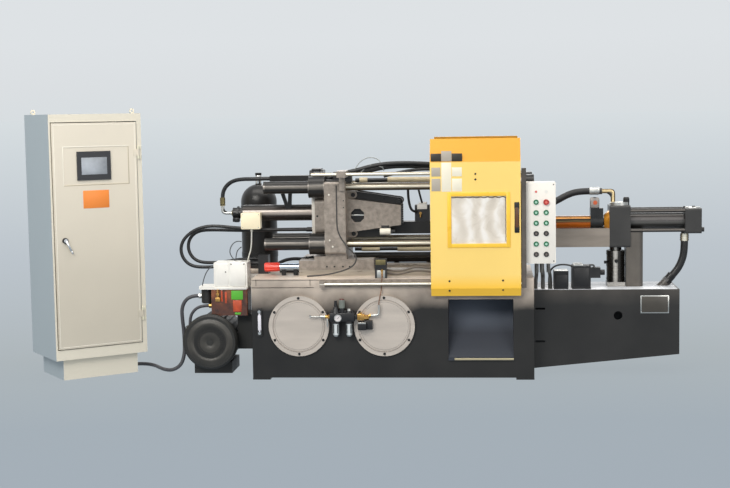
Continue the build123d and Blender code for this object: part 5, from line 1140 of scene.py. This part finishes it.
# Control cabinet: cream enamelled sheet, with painted shade that makes it greyer and bluer on its shaded
# sides, and a bordered door on two outside hinges, a recessed touch screen, a lock with a tipped lever and a
# bare label.
# The door's cream turns lighter towards its top: painted light.
cabinet_cream_painted_light = enamel("cabinet cream enamel", (198, 191, 176), 0.46, mottle=0.025, patch=2.2, grain=240,
                       relief=0.03, upper=((222, 214, 198), 0.3, 1.3))
cabinet_side_painted_shade = enamel("cabinet side enamel, painted shade", (220, 214, 198), 0.46, mottle=0.03, patch=2.2, grain=240,
                      relief=0.03)
# The sides that face shaded_side get painted shade: a cooler grey-blue mixed into the cream.
turn = math.radians(36.6)
net = Net(cabinet_side_painted_shade.node_tree)
shader = cabinet_side_painted_shade.node_tree.nodes["Principled BSDF"]
normal = net.add("NewGeometry").outputs["Normal"]
shaded_side = (-math.cos(turn), -math.sin(turn), 0)
facing = net.add("VectorMath", {0: normal, 1: shaded_side}, operation="DOT_PRODUCT").outputs["Value"]
cream = shader.inputs["Base Color"].links[0].from_socket
net.fill(shader, {"Base Color": net.mix(net.spread(facing, 0.4, 0.8), cream, tone((172, 184, 190)))})
dress(cabinet_side_painted_shade, "cabinet_walls", "cabinet_ends", "cabinet_plinth")
dress(cabinet_cream_painted_light, "cabinet_door")
dress(plain("pale hinge enamel", (226, 222, 200), 0.4, mottle=0.05), "cabinet_hinges")
screen_black = enamel("screen bezel", (28, 30, 36), 0.35, mottle=0.08, patch=30, relief=0.03)
dress(screen_black, "cabinet_screen")
cabinet = Matrix.Translation((-1.97, -0.44, 0)) @ Matrix.Rotation(turn, 4, "Z")
line_front, line_back, line_bevel = -0.0064, -0.005, 0.0004
slab((0.19, -0.0128, 1.214), (0.348, -0.0115, 1.314), 0.0006, cabinet)
piece("screen_glass", plain("screen glass", (156, 162, 170), 0.42, mottle=0.3, patch=11),
      "cabinet_door")
# The bright lines along the recess's top and left edges and round the door's border are painted highlight;
# the lines along the recess's lower and right edges are painted shade.
slab((0.078, line_front, 1.377), (0.489, line_back, 1.381), line_bevel, cabinet)
slab((0.078, line_front, 1.15), (0.0815, line_back, 1.3775), line_bevel, cabinet)
for z0, z1 in ((0.2, 0.2024), (1.506, 1.5084)):
    slab((0.028, line_front, z0), (0.528, line_back, z1), line_bevel, cabinet)
for x in (0.026, 0.5276):
    slab((x, line_front, 0.2), (x + 0.0024, line_back, 1.5084), line_bevel, cabinet)
piece("door_border_painted_highlight", plain("cream edge, painted highlight", (246, 241, 228), 0.4, mottle=0.02),
      "cabinet_door")
slab((0.0815, line_front, 1.15), (0.489, line_back, 1.1545), line_bevel, cabinet)
slab((0.4845, line_front, 1.154), (0.489, line_back, 1.377), line_bevel, cabinet)
piece("recess_shaded_edges", plain("shaded cream edge", (176, 164, 142), 0.5, mottle=0.02),
      "cabinet_door")
slab((0.196, -0.0068, 1.015), (0.357, -0.0055, 1.12), line_bevel, cabinet)
piece("cabinet_bare_label", plain("orange label", (240, 140, 58), 0.45, mottle=0.02),
      "cabinet_door")
lock_x, lock_z = 0.076, 0.832
rod(cabinet @ Vector((lock_x, -0.005, lock_z)), cabinet @ Vector((lock_x, -0.017, lock_z)), 0.0175, 0.0165,
    36)
lock_piece = piece("lock_head", plain("lock head", (52, 52, 54), 0.3, mottle=0.1, patch=40, metallic=0.6),
                   "cabinet_door")
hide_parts("cabinet_lock")
lever = Matrix.Translation((lock_x, -0.02, lock_z)) @ Matrix.Rotation(math.radians(-27), 4, "Y")
rod(cabinet @ Vector((lock_x, -0.016, lock_z)), cabinet @ Vector((lock_x, -0.022, lock_z)), 0.012, 0.0112, 32)
slab((-0.007, -0.005, -0.072), (0.007, 0.003, 0.0), 0.0025, cabinet @ lever)
slab((-0.0052, -0.0044, -0.088), (0.0052, 0.0024, -0.07), 0.002, cabinet @ lever)
piece("lock_lever", bright, "cabinet_door")
for x, y in ((0.04, 0.383), (0.534, 0.04)):
    ring(cabinet @ Vector((x, y, 1.569)), cabinet @ Vector((x, y, 1.575)), 0.012, 0.006, 28)
piece("eye_washers", black_oxide)
